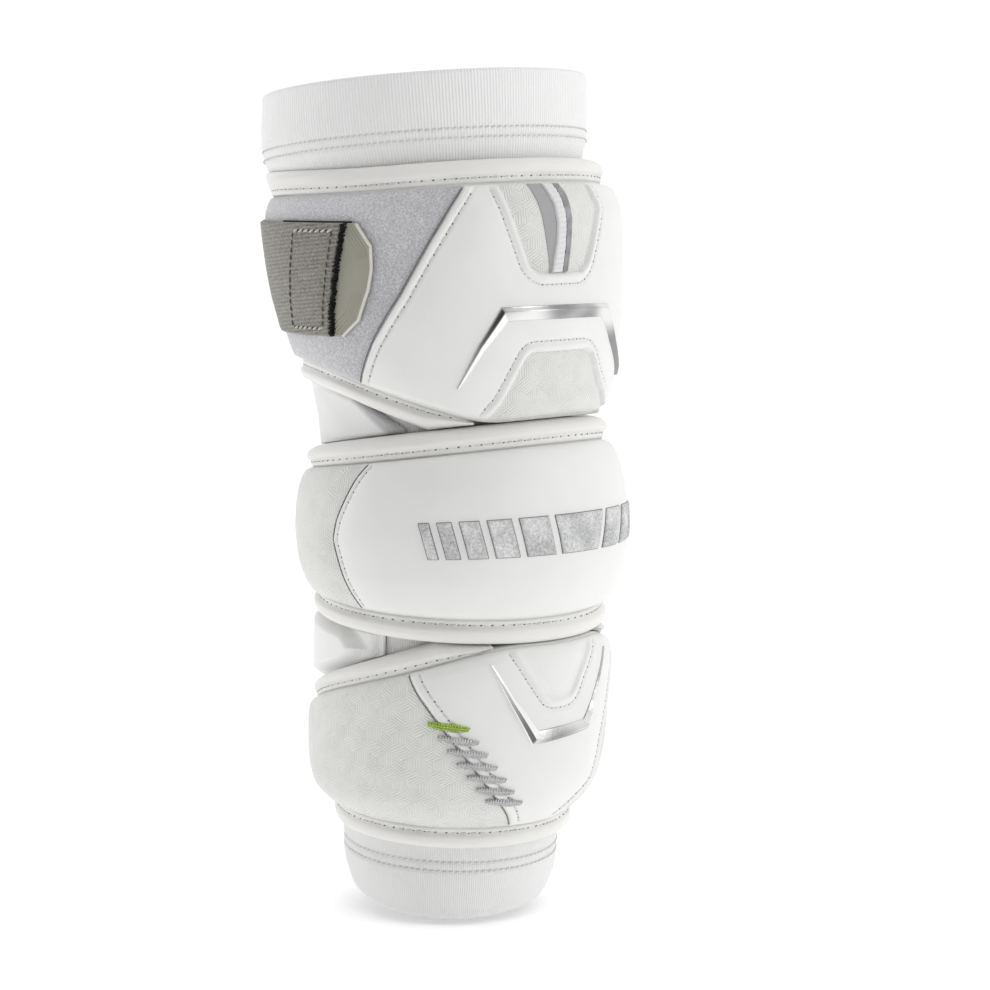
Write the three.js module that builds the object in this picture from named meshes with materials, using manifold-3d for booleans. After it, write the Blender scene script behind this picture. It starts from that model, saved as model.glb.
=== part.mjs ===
// A lacrosse arm pad: a knit sleeve that carries three foam pads, one over the upper arm,
// one over the elbow and one over the forearm, with a hook and loop strap round the top.
// Millimetres and degrees. +Z runs up the arm, -Y is the front, where the elbow's tip points.
// The origin lies on the arm's axis at the middle of the elbow pad.
//
// Every surface is stated on a bent tube: an angle round the arm (0 at the front, 90 at +X),
// a height along the arm and a radius from the axis. On a pad the height is a share of the
// pad's body, 0 at its lower seam and 1 at its upper seam.
import * as THREE from 'three';
import { mergeVertices } from 'three/addons/utils/BufferGeometryUtils.js';
import Module from 'manifold-3d';

const wasm = await Module();
wasm.setup();

// Driving sizes
const UPPER_LENGTH = 174;        // elbow centre to the top hem
const LOWER_LENGTH = 150.5;      // elbow centre to the lowest point of the wrist hem
const BICEP_RADIUS = 64.2;       // sleeve at the top hem
const ELBOW_RADIUS = 49.2;       // sleeve at the elbow
const WRIST_RADIUS = 42.8;       // sleeve above the wrist hem
const SLEEVE_WALL = 2;
const SLEEVE_SET_BACK = 5.7;     // the sleeve sits behind the axis of the pads, most at the top
const HEM_TILT = 6;              // the wrist hem rises this much at the sides
const UPPER_LEAN = 5.6;          // degrees that the upper arm leans back from the elbow
const FOREARM_LEAN = 2.8;
const BEND_HALF = 35;            // half the stretch of the arm that bends

const SEAT_GAP = 0.6;            // pads to sleeve
const PIECE_GAP = 0.4;           // neighbours side by side
const LAYER_GAP = 0.5;           // layers on one another
const MIN_FOAM = 2.2;            // thinnest rim of any pad or binding

const PANEL = 1.4;               // padded cover of each pad's front
const SIDE_PANEL = 1.1;          // embossed cover, loop cloth
const INSERT = 0.5;              // embossed cloth that shows in a window
const RIBBON = 0.6;              // ribbed strips in the vent
const TRIM_HEIGHT = 1.5;         // bright trims, ridge above base
const EMBLEM_HEIGHT = 1.0;
const TACK_HEIGHT = 0.9;

const UPPER_FOAM = 13.4;
const ELBOW_FOAM = 15.65;
const FOREARM_FOAM = 12.1;
const TOP_CUFF = 34;             // sleeve that shows above the upper pad
const WRIST_CUFF = 30.5;         // and below the forearm pad
const UPPER_TOP_EDGE = UPPER_LENGTH - TOP_CUFF;
const UPPER_EDGE_RISE = 4;       // the top edge climbs this much towards the back
const ELBOW_TOP_EDGE = 38;
const ELBOW_CROWN = 3;           // and rises this much at the front
const ELBOW_BOTTOM_EDGE = -36.6;
const ELBOW_SIDE_RISE = 2.6;
const UPPER_BOTTOM_EDGE = 18;    // the upper pad's lower edge, where it would meet the front
const UPPER_SWEEP = 0.405;       // its rise towards the back, mm a degree
const UPPER_SWEEP_END = 107;
const FOREARM_TOP_EDGE = -18.5;
const FOREARM_SWEEP = 0.34;
const FOREARM_BOTTOM_EDGE = WRIST_CUFF - LOWER_LENGTH;

const BINDING = { height: 8.5, forearm: 8, upperTop: 7, upperBottom: 8, elbowTop: 10.5, elbowBottom: 9.6,
  forearmTop: 9.8, forearmBottom: 4.4 };

const STRAP_WIDTH = 43;
const STRAP_THICK = 1.5;
const HOOK_THICK = 1.0;
const HOOK_LENGTH = 27;          // degrees of hook cloth under the strap's free end
const STRAP_CENTRE = 100;        // height of its middle at the side of the arm
const TAB_THICK = 1.6;
const TACK_LENGTH = 15;
const TACK_WIDTH = 2.4;
const TACK_SLANT = 2;            // one end of each bar tack is this much lower
const EMBLEM_BARS = [11.5, 12.5, 9.5, 7.5, 5.5, 4];   // half the middle bar, then outwards
const EMBLEM_GAP = 3;
const EMBLEM_SLANT = 3;          // degrees that a bar leans over its height
const WING_UPPER = 3.6;          // side wings, thickness over the sleeve's radius
const WING_LOWER = 8.6;
const WING_FLANGE = 3.2;

const REACH = { upper: 150, elbow: 145, forearm: 148 };   // how far round each pad goes
const PANEL_REACH = 9;           // covers stop this many degrees before a pad's end
const COLUMN = 12.5;             // degrees a facet, pads and bindings
const SKIN_COLUMN = 12.5;        // degrees a facet, covers
const ROW_SNAP = 0.045;          // an outline's own row closer than this to a foam row is dropped

// The sleeve: along is a share of the upper or lower length, girth is 0 at the elbow's radius,
// 1 at the bicep's and -1 at the wrist's, and back is a share of the set-back.
const SLEEVE_ROWS = [
  { along: 1.000, girth: 1.00, back: 0.60 },
  { along: 0.862, girth: 0.98, back: 1.00 },
  { along: 0.816, girth: 0.83, back: 0.88 },
  { along: 0.760, girth: 0.553, back: 0.70 },
  { along: 0.575, girth: 0.355, back: 0.60 },
  { along: 0.345, girth: 0.153, back: 0.53 },
  { along: 0.259, girth: 0.053, back: 0.53 },
  { along: 0.130, girth: 0.020, back: 0.51 },
  { along: 0.000, girth: 0.000, back: 0.48 },
  { along: -0.133, girth: -0.03, back: 0.44 },
  { along: -0.266, girth: -0.07, back: 0.40 },
  { along: -0.399, girth: -0.11, back: 0.35 },
  { along: -0.565, girth: -0.31, back: 0.26 },
  { along: -0.698, girth: -0.62, back: 0.20 },
  { along: -0.764, girth: -0.87, back: 0.15 },
  { along: -0.884, girth: -1.00, back: 0.05 },
  { along: -0.944, girth: -1.20, back: 0.00 },
  { along: -1.000, girth: -1.50, back: 0.00 },
];

// How each pad's foam swells between its seams, as a share of its thickness.
const UPPER_SWELL = [
  { up: 0.00, foam: 0.49 }, { up: 0.04, foam: 0.65 }, { up: 0.16, foam: 0.80 },
  { up: 0.28, foam: 0.88 }, { up: 0.42, foam: 0.97 }, { up: 0.60, foam: 1.00 },
  { up: 0.76, foam: 0.985 }, { up: 0.86, foam: 0.94 }, { up: 0.95, foam: 0.74 }, { up: 1.00, foam: 0.51 },
];
const ELBOW_SWELL = [
  { up: 0.00, foam: 0.52 }, { up: 0.05, foam: 0.64 }, { up: 0.12, foam: 0.77 },
  { up: 0.26, foam: 0.93 }, { up: 0.50, foam: 1.00 },
  { up: 0.66, foam: 0.965 }, { up: 0.79, foam: 0.89 }, { up: 0.92, foam: 0.73 }, { up: 1.00, foam: 0.53 },
];
const FOREARM_SWELL = [
  { up: 0.00, foam: 0.24 }, { up: 0.08, foam: 0.59 }, { up: 0.14, foam: 0.78 },
  { up: 0.21, foam: 0.91 }, { up: 0.40, foam: 1.00 }, { up: 0.60, foam: 0.985 },
  { up: 0.80, foam: 0.95 }, { up: 0.93, foam: 0.86 }, { up: 1.00, foam: 0.66 },
];

// A binding's rolled section from the seam (across 0) to its free edge (across 1).
const BINDING_ROLL = [
  { across: 0.00, out: 0.86 }, { across: 0.22, out: 1.00 }, { across: 0.62, out: 0.97 },
  { across: 0.91, out: 0.70 }, { across: 1.00, out: 0.36 },
];

// Outlines of covers, in degrees at shares of the pad's height.
const UPPER_LAP_LEFT = [
  { up: 0.00, at: -78.6 }, { up: 0.022, at: -77.6 }, { up: 0.253, at: -69.6 }, { up: 0.506, at: -58.0 },
  { up: 0.753, at: -47.4 }, { up: 0.896, at: -40.6 }, { up: 1.00, at: -34.9 },
];
const UPPER_LAP_RIGHT = [{ up: 0, at: 86 }, { up: 0.5, at: 74 }, { up: 1, at: 62 }];
const VENT_LEFT = [
  { up: 0.603, at: -12.5 }, { up: 0.64, at: -16.4 }, { up: 0.773, at: -19.6 }, { up: 1.00, at: -24.8 },
];
const VENT_RIGHT = [
  { up: 0.603, at: 4.0 }, { up: 0.64, at: 7.6 }, { up: 0.722, at: 10.6 }, { up: 0.887, at: 15.9 },
  { up: 0.925, at: 14.4 }, { up: 1.00, at: 13.4 },
];
const BAND_LEFT = [
  { up: 0.61, at: -8.5 }, { up: 0.74, at: -6.4 }, { up: 0.82, at: -5.6 }, { up: 0.90, at: -6.4 },
  { up: 0.99, at: -8.9 },
];
const MESH_LEFT = [
  { up: 0.61, at: -4.4 }, { up: 0.72, at: -2.7 }, { up: 0.83, at: -1.9 }, { up: 0.93, at: -3.0 },
  { up: 0.99, at: -4.4 },
];
const MESH_RIGHT = [
  { up: 0.61, at: -1.9 }, { up: 0.72, at: -0.3 }, { up: 0.83, at: 0.7 }, { up: 0.93, at: 0.1 },
  { up: 0.99, at: -1.4 },
];
const KNEE_LEFT = [
  { up: 0.00, at: -32.5 }, { up: 0.075, at: -26.8 }, { up: 0.16, at: -22.8 }, { up: 0.262, at: -18.0 },
  { up: 0.282, at: -16.4 },
];
const KNEE_RIGHT = [
  { up: 0.00, at: 35 }, { up: 0.075, at: 27.6 }, { up: 0.16, at: 18.6 }, { up: 0.262, at: 12.2 },
  { up: 0.282, at: 8.6 },
];
const ELBOW_SEAM = [
  { up: 0.00, at: 82.8 }, { up: 0.137, at: 86.0 }, { up: 0.301, at: 88.6 }, { up: 0.49, at: 91.0 },
  { up: 0.625, at: 89.3 }, { up: 0.764, at: 85.6 }, { up: 0.895, at: 81.8 }, { up: 1.00, at: 77.2 },
];
const FOREARM_SEAM_LEFT = [
  { up: 0.00, at: -16.6 }, { up: 0.11, at: -22.1 }, { up: 0.226, at: -29.2 }, { up: 0.428, at: -39.3 },
  { up: 0.676, at: -50.7 }, { up: 0.863, at: -58.4 }, { up: 1.00, at: -62.8 },
];
const FOREARM_SEAM_RIGHT = [
  { up: 0.00, at: 7 }, { up: 0.104, at: 15.3 }, { up: 0.194, at: 25 }, { up: 0.307, at: 26.4 },
  { up: 0.408, at: 27 }, { up: 0.70, at: 34 }, { up: 1.00, at: 44 },
];
const CREST_LEFT = [
  { up: 0.718, at: -8.0 }, { up: 0.727, at: -9.0 }, { up: 0.80, at: -12.8 }, { up: 0.968, at: -20.8 },
  { up: 1.00, at: -22.4 },
];
const CREST_RIGHT = [
  { up: 0.718, at: 0.0 }, { up: 0.727, at: 1.6 }, { up: 0.764, at: 3.4 }, { up: 0.839, at: 6.5 },
  { up: 0.949, at: 12.8 }, { up: 1.00, at: 15.6 },
];

// Bright trims: pairs of points, the outer edge and the inner edge.
const UPPER_TRIM = [
  { outAt: -42.4, outUp: 0.124, inAt: -41.2, inUp: 0.129 },
  { outAt: -34.6, outUp: 0.320, inAt: -32.7, inUp: 0.296 },
  { outAt: -26.9, outUp: 0.478, inAt: -24.8, inUp: 0.418 },
  { outAt: -4.0, outUp: 0.474, inAt: -4.4, inUp: 0.415 },
  { outAt: 18.8, outUp: 0.471, inAt: 15.6, inUp: 0.414 },
  { outAt: 27.6, outUp: 0.315, inAt: 24.0, inUp: 0.303 },
  { outAt: 42.0, outUp: 0.133, inAt: 40.0, inUp: 0.138 },
];
const FOREARM_TRIM = [
  { outAt: -32.9, outUp: 0.939, inAt: -31.7, inUp: 0.936 },
  { outAt: -24.9, outUp: 0.707, inAt: -22.9, inUp: 0.735 },
  { outAt: -16.3, outUp: 0.484, inAt: -13.3, inUp: 0.559 },
  { outAt: -3.0, outUp: 0.503, inAt: -2.6, inUp: 0.571 },
  { outAt: 11.4, outUp: 0.521, inAt: 8.2, inUp: 0.580 },
  { outAt: 14.2, outUp: 0.662, inAt: 12.6, inUp: 0.668 },
  { outAt: 24.8, outUp: 0.930, inAt: 24.0, inUp: 0.932 },
];
const TACKS = [
  { at: -46.8, up: 0.638 }, { at: -43.2, up: 0.552 }, { at: -39.8, up: 0.473 }, { at: -36.2, up: 0.396 },
  { at: -32.4, up: 0.320 }, { at: -28.8, up: 0.247 }, { at: -24.8, up: 0.178 },
];
// The strap's free end and the pull tab: across is a share of the strap's width.
const STRAP_END = [{ across: 0, at: -84.0 }, { across: 1, at: -73.6 }];
const STRAP_START = -234;        // sewn down behind the right side
const TAB_EDGE = [
  { across: 0.00, at: -79.4 }, { across: 0.15, at: -72.2 }, { across: 0.42, at: -67.4 },
  { across: 0.60, at: -65.6 }, { across: 0.80, at: -65.2 }, { across: 1.00, at: -69.4 },
];
// A wing's swell across its height, and how it grows from its tip.
const WING_SWELL = [
  { across: 0.00, out: 0.0 }, { across: 0.16, out: 0.25 }, { across: 0.38, out: 1.0 },
  { across: 0.66, out: 1.0 }, { across: 0.86, out: 0.25 }, { across: 1.00, out: 0.0 },
];
const LOWER_WING_TIP = 79;
const UPPER_WING_TIP = 66;
const WING_GROWTH = 24;          // degrees from a wing's tip to its full height
const UPPER_WING_CUT = { at: 95, above: 17 };    // its upper edge climbs this far from the tip

const COLOURS = {
  knit: [0xe4e4e6, 0.85, 0], foam: [0xeeeeec, 0.6, 0], cover: [0xf0f0ef, 0.42, 0],
  embossed: [0xe9e9e8, 0.5, 0], binding: [0xeae9e4, 0.55, 0], loop: [0xcfcfd8, 0.95, 0],
  webbing: [0x86837d, 0.8, 0], hook: [0x191817, 0.9, 0], rubber: [0x9a988a, 0.6, 0],
  chrome: [0xc4c6c8, 0.18, 1], mesh: [0x8c8e90, 0.7, 0], silver: [0xa9abad, 0.45, 0.6],
  lime: [0x8aa52c, 0.6, 0], wing: [0xe6e6e4, 0.55, 0],
};

const rad = THREE.MathUtils.degToRad;

// Reads a value from a short table at x, straight between its rows.
function lookup(table, x, key, value) {
  const rows = table[0][key] <= table[table.length - 1][key] ? table : [...table].reverse();
  if (x <= rows[0][key]) return rows[0][value];
  for (let i = 1; i < rows.length; i += 1) {
    if (x <= rows[i][key]) {
      const share = (x - rows[i - 1][key]) / (rows[i][key] - rows[i - 1][key]);
      return rows[i - 1][value] + share * (rows[i][value] - rows[i - 1][value]);
    }
  }
  return rows[rows.length - 1][value];
}

function smooth(x) {
  const t = Math.min(1, Math.max(0, x));
  return t * t * (3 - 2 * t);
}

// Puts an angle, a height and a radius on the bent arm. The axis is a parabola at the elbow.
const upperSlope = Math.tan(rad(UPPER_LEAN));
const forearmSlope = Math.tan(rad(FOREARM_LEAN));
function onArm(at, z, r) {
  const inBend = Math.min(BEND_HALF, Math.max(-BEND_HALF, z));
  const curve = (upperSlope + forearmSlope) / (4 * BEND_HALF);
  let centre = -forearmSlope * inBend + curve * (inBend + BEND_HALF) ** 2 - curve * BEND_HALF ** 2;
  centre += Math.max(0, z - BEND_HALF) * upperSlope;
  centre -= Math.min(0, z + BEND_HALF) * forearmSlope;
  const slope = -forearmSlope + (upperSlope + forearmSlope) * (inBend + BEND_HALF) / (2 * BEND_HALF);
  const tilt = Math.atan(slope);
  const forward = -r * Math.cos(rad(at));
  return new THREE.Vector3(r * Math.sin(rad(at)), centre + forward * Math.cos(tilt),
    z - forward * Math.sin(tilt));
}

// Sleeve: radius about its own centre, and its radius from the pads' axis at an angle.
const sleeveHeight = (row) => row.along * (row.along > 0 ? UPPER_LENGTH : LOWER_LENGTH);
const sleeveRadiusOf = (row) => ELBOW_RADIUS + row.girth
  * (row.girth > 0 ? BICEP_RADIUS - ELBOW_RADIUS : ELBOW_RADIUS - WRIST_RADIUS);
const SLEEVE = SLEEVE_ROWS.map((row) => (
  { z: sleeveHeight(row), radius: sleeveRadiusOf(row), back: row.back * SLEEVE_SET_BACK }));
const sleeveRadius = (z) => lookup(SLEEVE, z, 'z', 'radius');
function sleeveSurface(at, z, offset = 0) {
  const back = lookup(SLEEVE, z, 'z', 'back');
  const radius = sleeveRadius(z) + offset;
  return -back * Math.cos(rad(at)) + Math.sqrt(radius ** 2 - (back * Math.sin(rad(at))) ** 2);
}

// The larger or smaller of two heights, rounded where they cross.
function roundedMax(a, b, blend = 5) {
  const near = Math.max(0, blend - Math.abs(a - b)) / blend;
  return Math.max(a, b) + near * near * blend / 4;
}
const roundedMin = (a, b, blend) => -roundedMax(-a, -b, blend);

// Edges of the pads, with their bindings, at an angle.
const upperTop = (at) => UPPER_TOP_EDGE + UPPER_EDGE_RISE * smooth((Math.abs(at) - 60) / 80);
const upperBottom = (at) => UPPER_BOTTOM_EDGE + UPPER_SWEEP * roundedMin(Math.abs(at), UPPER_SWEEP_END, 24);
const elbowTop = (at) => ELBOW_TOP_EDGE + ELBOW_CROWN * Math.cos(rad(at));
const elbowBottom = (at) => ELBOW_BOTTOM_EDGE + ELBOW_SIDE_RISE * (at / 135) ** 2;
const forearmTop = (at) => FOREARM_TOP_EDGE - FOREARM_SWEEP * Math.abs(at);
const forearmBottom = () => FOREARM_BOTTOM_EDGE;

// A pad's body lies between its seams. Where a neighbour covers its edge it stops there.
const PADS = {
  upper: {
    foam: UPPER_FOAM, swell: UPPER_SWELL, seats: [0, 0.3, 0.65, 1], reach: REACH.upper,
    low: (at) => roundedMax(upperBottom(at) + BINDING.height, elbowTop(at)) + PIECE_GAP,
    high: (at) => upperTop(at) - BINDING.height - PIECE_GAP,
  },
  elbow: {
    foam: ELBOW_FOAM, swell: ELBOW_SWELL, seats: [0, 0.25, 0.5, 0.75, 1], reach: REACH.elbow,
    low: (at) => elbowBottom(at) + BINDING.height + PIECE_GAP,
    high: (at) => elbowTop(at) - BINDING.height - PIECE_GAP,
  },
  forearm: {
    foam: FOREARM_FOAM, swell: FOREARM_SWELL, seats: [0, 0.1, 0.2, 0.43, 0.8, 1], reach: REACH.forearm,
    low: (at) => forearmBottom(at) + BINDING.forearm + PIECE_GAP,
    high: (at) => roundedMin(forearmTop(at) - BINDING.forearm, elbowBottom(at)) - PIECE_GAP,
  },
};

// Foam thins towards the back and rounds off at its ends.
function thinning(at, reach) {
  const toBack = 1 - 0.18 * smooth((Math.abs(at) - 95) / 55);
  const end = Math.min(1, Math.max(0, (reach - Math.abs(at)) / 8));
  return toBack * (0.55 + 0.45 * Math.sqrt(1 - (1 - end) ** 2));
}

// A point of a pad's cover, a lift above the foam.
function onPad(pad, at, up, lift = 0) {
  const z = pad.low(at) + up * (pad.high(at) - pad.low(at));
  const foam = pad.foam * lookup(pad.swell, up, 'up', 'foam') * thinning(at, pad.reach);
  const seat = sleeveSurface(at, z, SEAT_GAP);
  return { at, z, r: Math.max(sleeveRadius(z) + foam, seat + MIN_FOAM) + lift };
}

// The two ways to close an end. A skin's section is its outside and, in turn, its inside, so each
// point of one has a partner on the other. Any other section is flat and closes as an outline.
function pairedCap(count) {
  const corners = [];
  for (let j = 0; j < count / 2 - 1; j += 1) {
    corners.push([j, j + 1, count - 2 - j], [j, count - 2 - j, count - 1 - j]);
  }
  return corners;
}
function outlineCap(section) {
  const outline = section.map((p) => new THREE.Vector2(p.z, p.r));
  const clockwise = THREE.ShapeUtils.isClockWise(outline);
  return THREE.ShapeUtils.triangulateShape(outline, []).map(([a, b, c]) => (clockwise ? [a, c, b] : [a, b, c]));
}

// Builds one closed body from a row of sections. Each section is a ring of { at, z, r } points.
// Every four-cornered facet is split along its shorter diagonal, so slanted skins stay round.
function sweep(sections, { ring = false, paired = false } = {}) {
  const count = sections[0].length;
  const points = sections.flat().map((p) => onArm(p.at, p.z, p.r));
  const faces = [];
  const last = sections.length - (ring ? 0 : 1);
  for (let i = 0; i < last; i += 1) {
    const next = ((i + 1) % sections.length) * count;
    for (let j = 0; j < count; j += 1) {
      const k = (j + 1) % count;
      const [a, b, c, d] = [i * count + j, next + j, next + k, i * count + k];
      const shorter = points[a].distanceTo(points[c]) <= points[b].distanceTo(points[d]);
      faces.push(...(shorter ? [a, b, c, a, c, d] : [a, b, d, b, c, d]));
    }
  }
  if (!ring) [0, sections.length - 1].forEach((i) => {
    const corners = paired ? pairedCap(count) : outlineCap(sections[i]);
    const flip = i === 0 ? 0 : 1;
    corners.forEach((c) => faces.push(i * count + c[0], i * count + c[1 + flip], i * count + c[2 - flip]));
  });
  const geometry = new THREE.BufferGeometry().setFromPoints(points);
  geometry.setIndex(faces);
  return faceOutwards(geometry);
}

// Turns a closed geometry's faces outwards.
function faceOutwards(geometry) {
  const p = geometry.getAttribute('position');
  const index = geometry.getIndex().array;
  const [a, b, c] = [new THREE.Vector3(), new THREE.Vector3(), new THREE.Vector3()];
  let volume = 0;
  for (let i = 0; i < index.length; i += 3) {
    a.fromBufferAttribute(p, index[i]);
    b.fromBufferAttribute(p, index[i + 1]);
    c.fromBufferAttribute(p, index[i + 2]);
    volume += a.dot(b.cross(c));
  }
  if (volume < 0) {
    for (let i = 0; i < index.length; i += 3) [index[i + 1], index[i + 2]] = [index[i + 2], index[i + 1]];
  }
  return geometry;
}

// Even steps from one value to another, none longer than the step given.
function steps(from, to, step) {
  const count = Math.max(1, Math.ceil(Math.abs(to - from) / step));
  return Array.from({ length: count + 1 }, (_, i) => from + (to - from) * (i / count));
}

// The facets' angles between two ends, on the same grid as the whole pad.
function columnsOf(from, to, reach) {
  const [low, high] = [Math.min(from, to), Math.max(from, to)];
  const inner = steps(-reach, reach, COLUMN).filter((at) => at > low + 3 && at < high - 3);
  return [low, ...inner, high];
}

// A pad's foam: outside by its swell, inside on the sleeve.
function padBody(pad) {
  return sweep(columnsOf(-pad.reach, pad.reach, pad.reach).map((at) => {
    const outside = pad.swell.map((row) => onPad(pad, at, row.up));
    const inside = pad.seats.map((up) => {
      const z = pad.low(at) + up * (pad.high(at) - pad.low(at));
      return { at, z, r: sleeveSurface(at, z, SEAT_GAP) };
    }).reverse();
    return [...outside, ...inside];
  }));
}

// A cover on a pad between two outlines. Its rows are the foam's own rows, so it lies true.
function cover(pad, left, right, lift, thick, low = 0.01, high = 0.99, column = SKIN_COLUMN) {
  const shared = pad.swell.map((row) => row.up);
  const own = [...left, ...right].map((row) => row.up)
    .filter((up) => shared.every((other) => Math.abs(other - up) > ROW_SNAP));
  const between = [...new Set([...shared, ...own])].sort((a, b) => a - b)
    .filter((up, i, all) => i === 0 || shared.includes(up) || up - all[i - 1] > ROW_SNAP)
    .filter((up) => up > low + 0.015 && up < high - 0.015);
  const rows = [low, ...between, high];
  const widest = Math.max(...rows.map((up) => lookup(right, up, 'up', 'at') - lookup(left, up, 'up', 'at')));
  return sweep(steps(0, 1, column / widest).map((share) => {
    const line = rows.map((up) => {
      const from = lookup(left, up, 'up', 'at');
      return { up, at: from + share * (lookup(right, up, 'up', 'at') - from) };
    });
    const face = (height) => line.map((p) => onPad(pad, p.at, p.up, height));
    return [...face(lift + thick), ...face(lift).reverse()];
  }), { paired: true });
}

// An outline moved sideways, and one at a fixed angle.
const moved = (outline, by) => outline.map((row) => ({ up: row.up, at: row.at + by }));
const upright = (at) => [{ up: 0, at }, { up: 1, at }];
const mirrored = (outline) => outline.map((row) => ({ up: row.up, at: -row.at }));
const degreesOf = (length, radius) => THREE.MathUtils.radToDeg(length / radius);

// Cuts windows through a cover.
function solidOf(geometry) {
  const bare = mergeVertices(geometry, 1e-4);
  return new wasm.Manifold(new wasm.Mesh({ numProp: 3,
    vertProperties: new Float32Array(bare.getAttribute('position').array),
    triVerts: new Uint32Array(bare.getIndex().array) }));
}
function cutWindows(geometry, cutters) {
  let solid = solidOf(geometry);
  cutters.forEach((cutter) => { solid = solid.subtract(solidOf(cutter)); });
  const mesh = solid.getMesh();
  const cut = new THREE.BufferGeometry();
  cut.setAttribute('position', new THREE.BufferAttribute(new Float32Array(mesh.vertProperties), 3));
  cut.setIndex(new THREE.BufferAttribute(new Uint32Array(mesh.triVerts), 1));
  return cut;
}

// A window's cutter: the insert's outline with its gap, a little past an open end.
function windowCutter(pad, left, right, low, high) {
  const gap = degreesOf(PIECE_GAP, BICEP_RADIUS);
  return cover(pad, moved(left, -gap), moved(right, gap), -PANEL, 4 * PANEL, low, high);
}

// A rolled binding between a seam and a free edge, sitting on the sleeve.
function binding(from, to, thick, reach, seam, edge) {
  return sweep(columnsOf(from, to, reach).map((at) => {
    const [near, far] = [seam(at), edge(at)];
    const base = sleeveRadius((near + far) / 2);
    const outside = BINDING_ROLL.map(({ across, out }) => {
      const z = near + across * (far - near);
      const roll = base + thick * out * thinning(at, reach);
      return { at, z, r: Math.max(roll, sleeveSurface(at, z, SEAT_GAP) + MIN_FOAM * out) };
    });
    const inside = [far, (far + near) / 2, near].map((z) => ({ at, z, r: sleeveSurface(at, z, SEAT_GAP) }));
    return [...outside, ...inside];
  }));
}

// A raised trim with a ridge, along pairs of points on a cover.
function trim(pad, pairs, lift, height) {
  const sections = [];
  pairs.slice(1).forEach((end, i) => {
    const start = pairs[i];
    const count = Math.max(2, Math.ceil(Math.abs(end.outAt - start.outAt) / 6));
    for (let k = i === 0 ? 0 : 1; k <= count; k += 1) {
      const mix = (key) => start[key] + (end[key] - start[key]) * (k / count);
      sections.push([
        onPad(pad, mix('outAt'), mix('outUp'), lift),
        onPad(pad, (mix('outAt') + mix('inAt')) / 2, (mix('outUp') + mix('inUp')) / 2, lift + height),
        onPad(pad, mix('inAt'), mix('inUp'), lift),
      ]);
    }
  });
  return sweep(sections);
}

// The sleeve is one hollow tube, open at both ends. Its wrist hem tilts.
function sleeveTube() {
  const hemStart = SLEEVE_ROWS.find((row) => row.along < -0.8).along * LOWER_LENGTH;
  const face = (at, offset) => SLEEVE.map((row) => {
    const share = smooth((hemStart - row.z) / (hemStart + LOWER_LENGTH));
    const lift = HEM_TILT * (1 - Math.cos(rad(at + 45))) * share;
    const surface = -row.back * Math.cos(rad(at))
      + Math.sqrt((row.radius + offset) ** 2 - (row.back * Math.sin(rad(at))) ** 2);
    return { at, z: row.z + lift, r: surface };
  });
  const columns = steps(-180, 180, COLUMN).slice(0, -1);
  const lining = (row, i, all) => i % 2 === 0 || i === all.length - 1;
  return sweep(columns.map((at) => (
    [...face(at, 0), ...face(at, -SLEEVE_WALL).filter(lining).reverse()])), { ring: true });
}

// The strap lies level, so its height on the leaning arm changes round it. Behind the pad's
// ends it runs straight until it meets the sleeve.
const strapMiddle = (at) => STRAP_CENTRE - UPPER_FOAM / 2 * Math.cos(rad(at));
const strapZ = (at, across) => strapMiddle(at) + (across - 0.5) * STRAP_WIDTH;
function strapRadius(at, z, lift) {
  const wrapped = at < -180 ? at + 360 : at;
  const pad = PADS.upper;
  const ledge = pad.reach - PANEL_REACH + 3;
  const onCover = (angle) => {
    const up = (z - pad.low(angle)) / (pad.high(angle) - pad.low(angle));
    return onPad(pad, angle, up, lift).r;
  };
  if (Math.abs(wrapped) <= ledge) return onCover(wrapped);
  const taut = onCover(ledge) * Math.cos(rad(180 - ledge)) / Math.cos(rad(180 - Math.abs(wrapped)));
  return Math.max(taut, sleeveSurface(wrapped, z, SEAT_GAP + PIECE_GAP));
}
function strapBody(from, to, lift, thick) {
  const rows = [0, 0.33, 0.67, 1];
  return sweep(steps(0, 1, 8 / Math.abs(to[0].at - from[0].at)).map((share) => {
    const line = rows.map((across) => {
      const start = lookup(from, across, 'across', 'at');
      const at = start + share * (lookup(to, across, 'across', 'at') - start);
      return { at, z: strapZ(at, across) };
    });
    const face = (height) => line.map((p) => ({ ...p, r: strapRadius(p.at, p.z, lift(p.at)) + height }));
    return [...face(thick), ...face(0).reverse()];
  }), { paired: true });
}

// A wing sits on the sleeve between two pads and rises from a flange to a ridge.
function wing(side, tip, reach, low, high, ridge) {
  return sweep(columnsOf(side * tip, side * reach, reach).map((at) => {
    const angle = Math.abs(at);
    const [bottom, top] = [low(at), high(at)];
    const growth = smooth((angle - tip) / WING_GROWTH);
    const outside = WING_SWELL.map(({ across, out }) => {
      const z = bottom + across * (top - bottom);
      const r = sleeveRadius(z) + WING_FLANGE + (ridge - WING_FLANGE) * out * growth;
      return { at, z, r: Math.max(r, sleeveSurface(at, z, SEAT_GAP) + MIN_FOAM / 2) };
    });
    const inside = [top, (top + bottom) / 2, bottom].map((z) => (
      { at, z, r: sleeveSurface(at, z, SEAT_GAP) }));
    return [...outside, ...inside];
  }));
}

// The assembly
const armPad = new THREE.Group();
function add(name, geometry, colour) {
  const [color, roughness, metalness] = COLOURS[colour];
  const mesh = new THREE.Mesh(geometry, new THREE.MeshStandardMaterial({ color, roughness, metalness }));
  mesh.name = name;
  armPad.add(mesh);
}

const frontTop = LAYER_GAP + PANEL;              // outside of a front cover
const sideTop = LAYER_GAP + SIDE_PANEL;
const onFront = frontTop + LAYER_GAP;
const sideGap = degreesOf(PIECE_GAP, BICEP_RADIUS);
const { upper, elbow, forearm } = PADS;
const coverEnd = (pad) => pad.reach - PANEL_REACH;

add('sleeve', sleeveTube(), 'knit');

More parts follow.
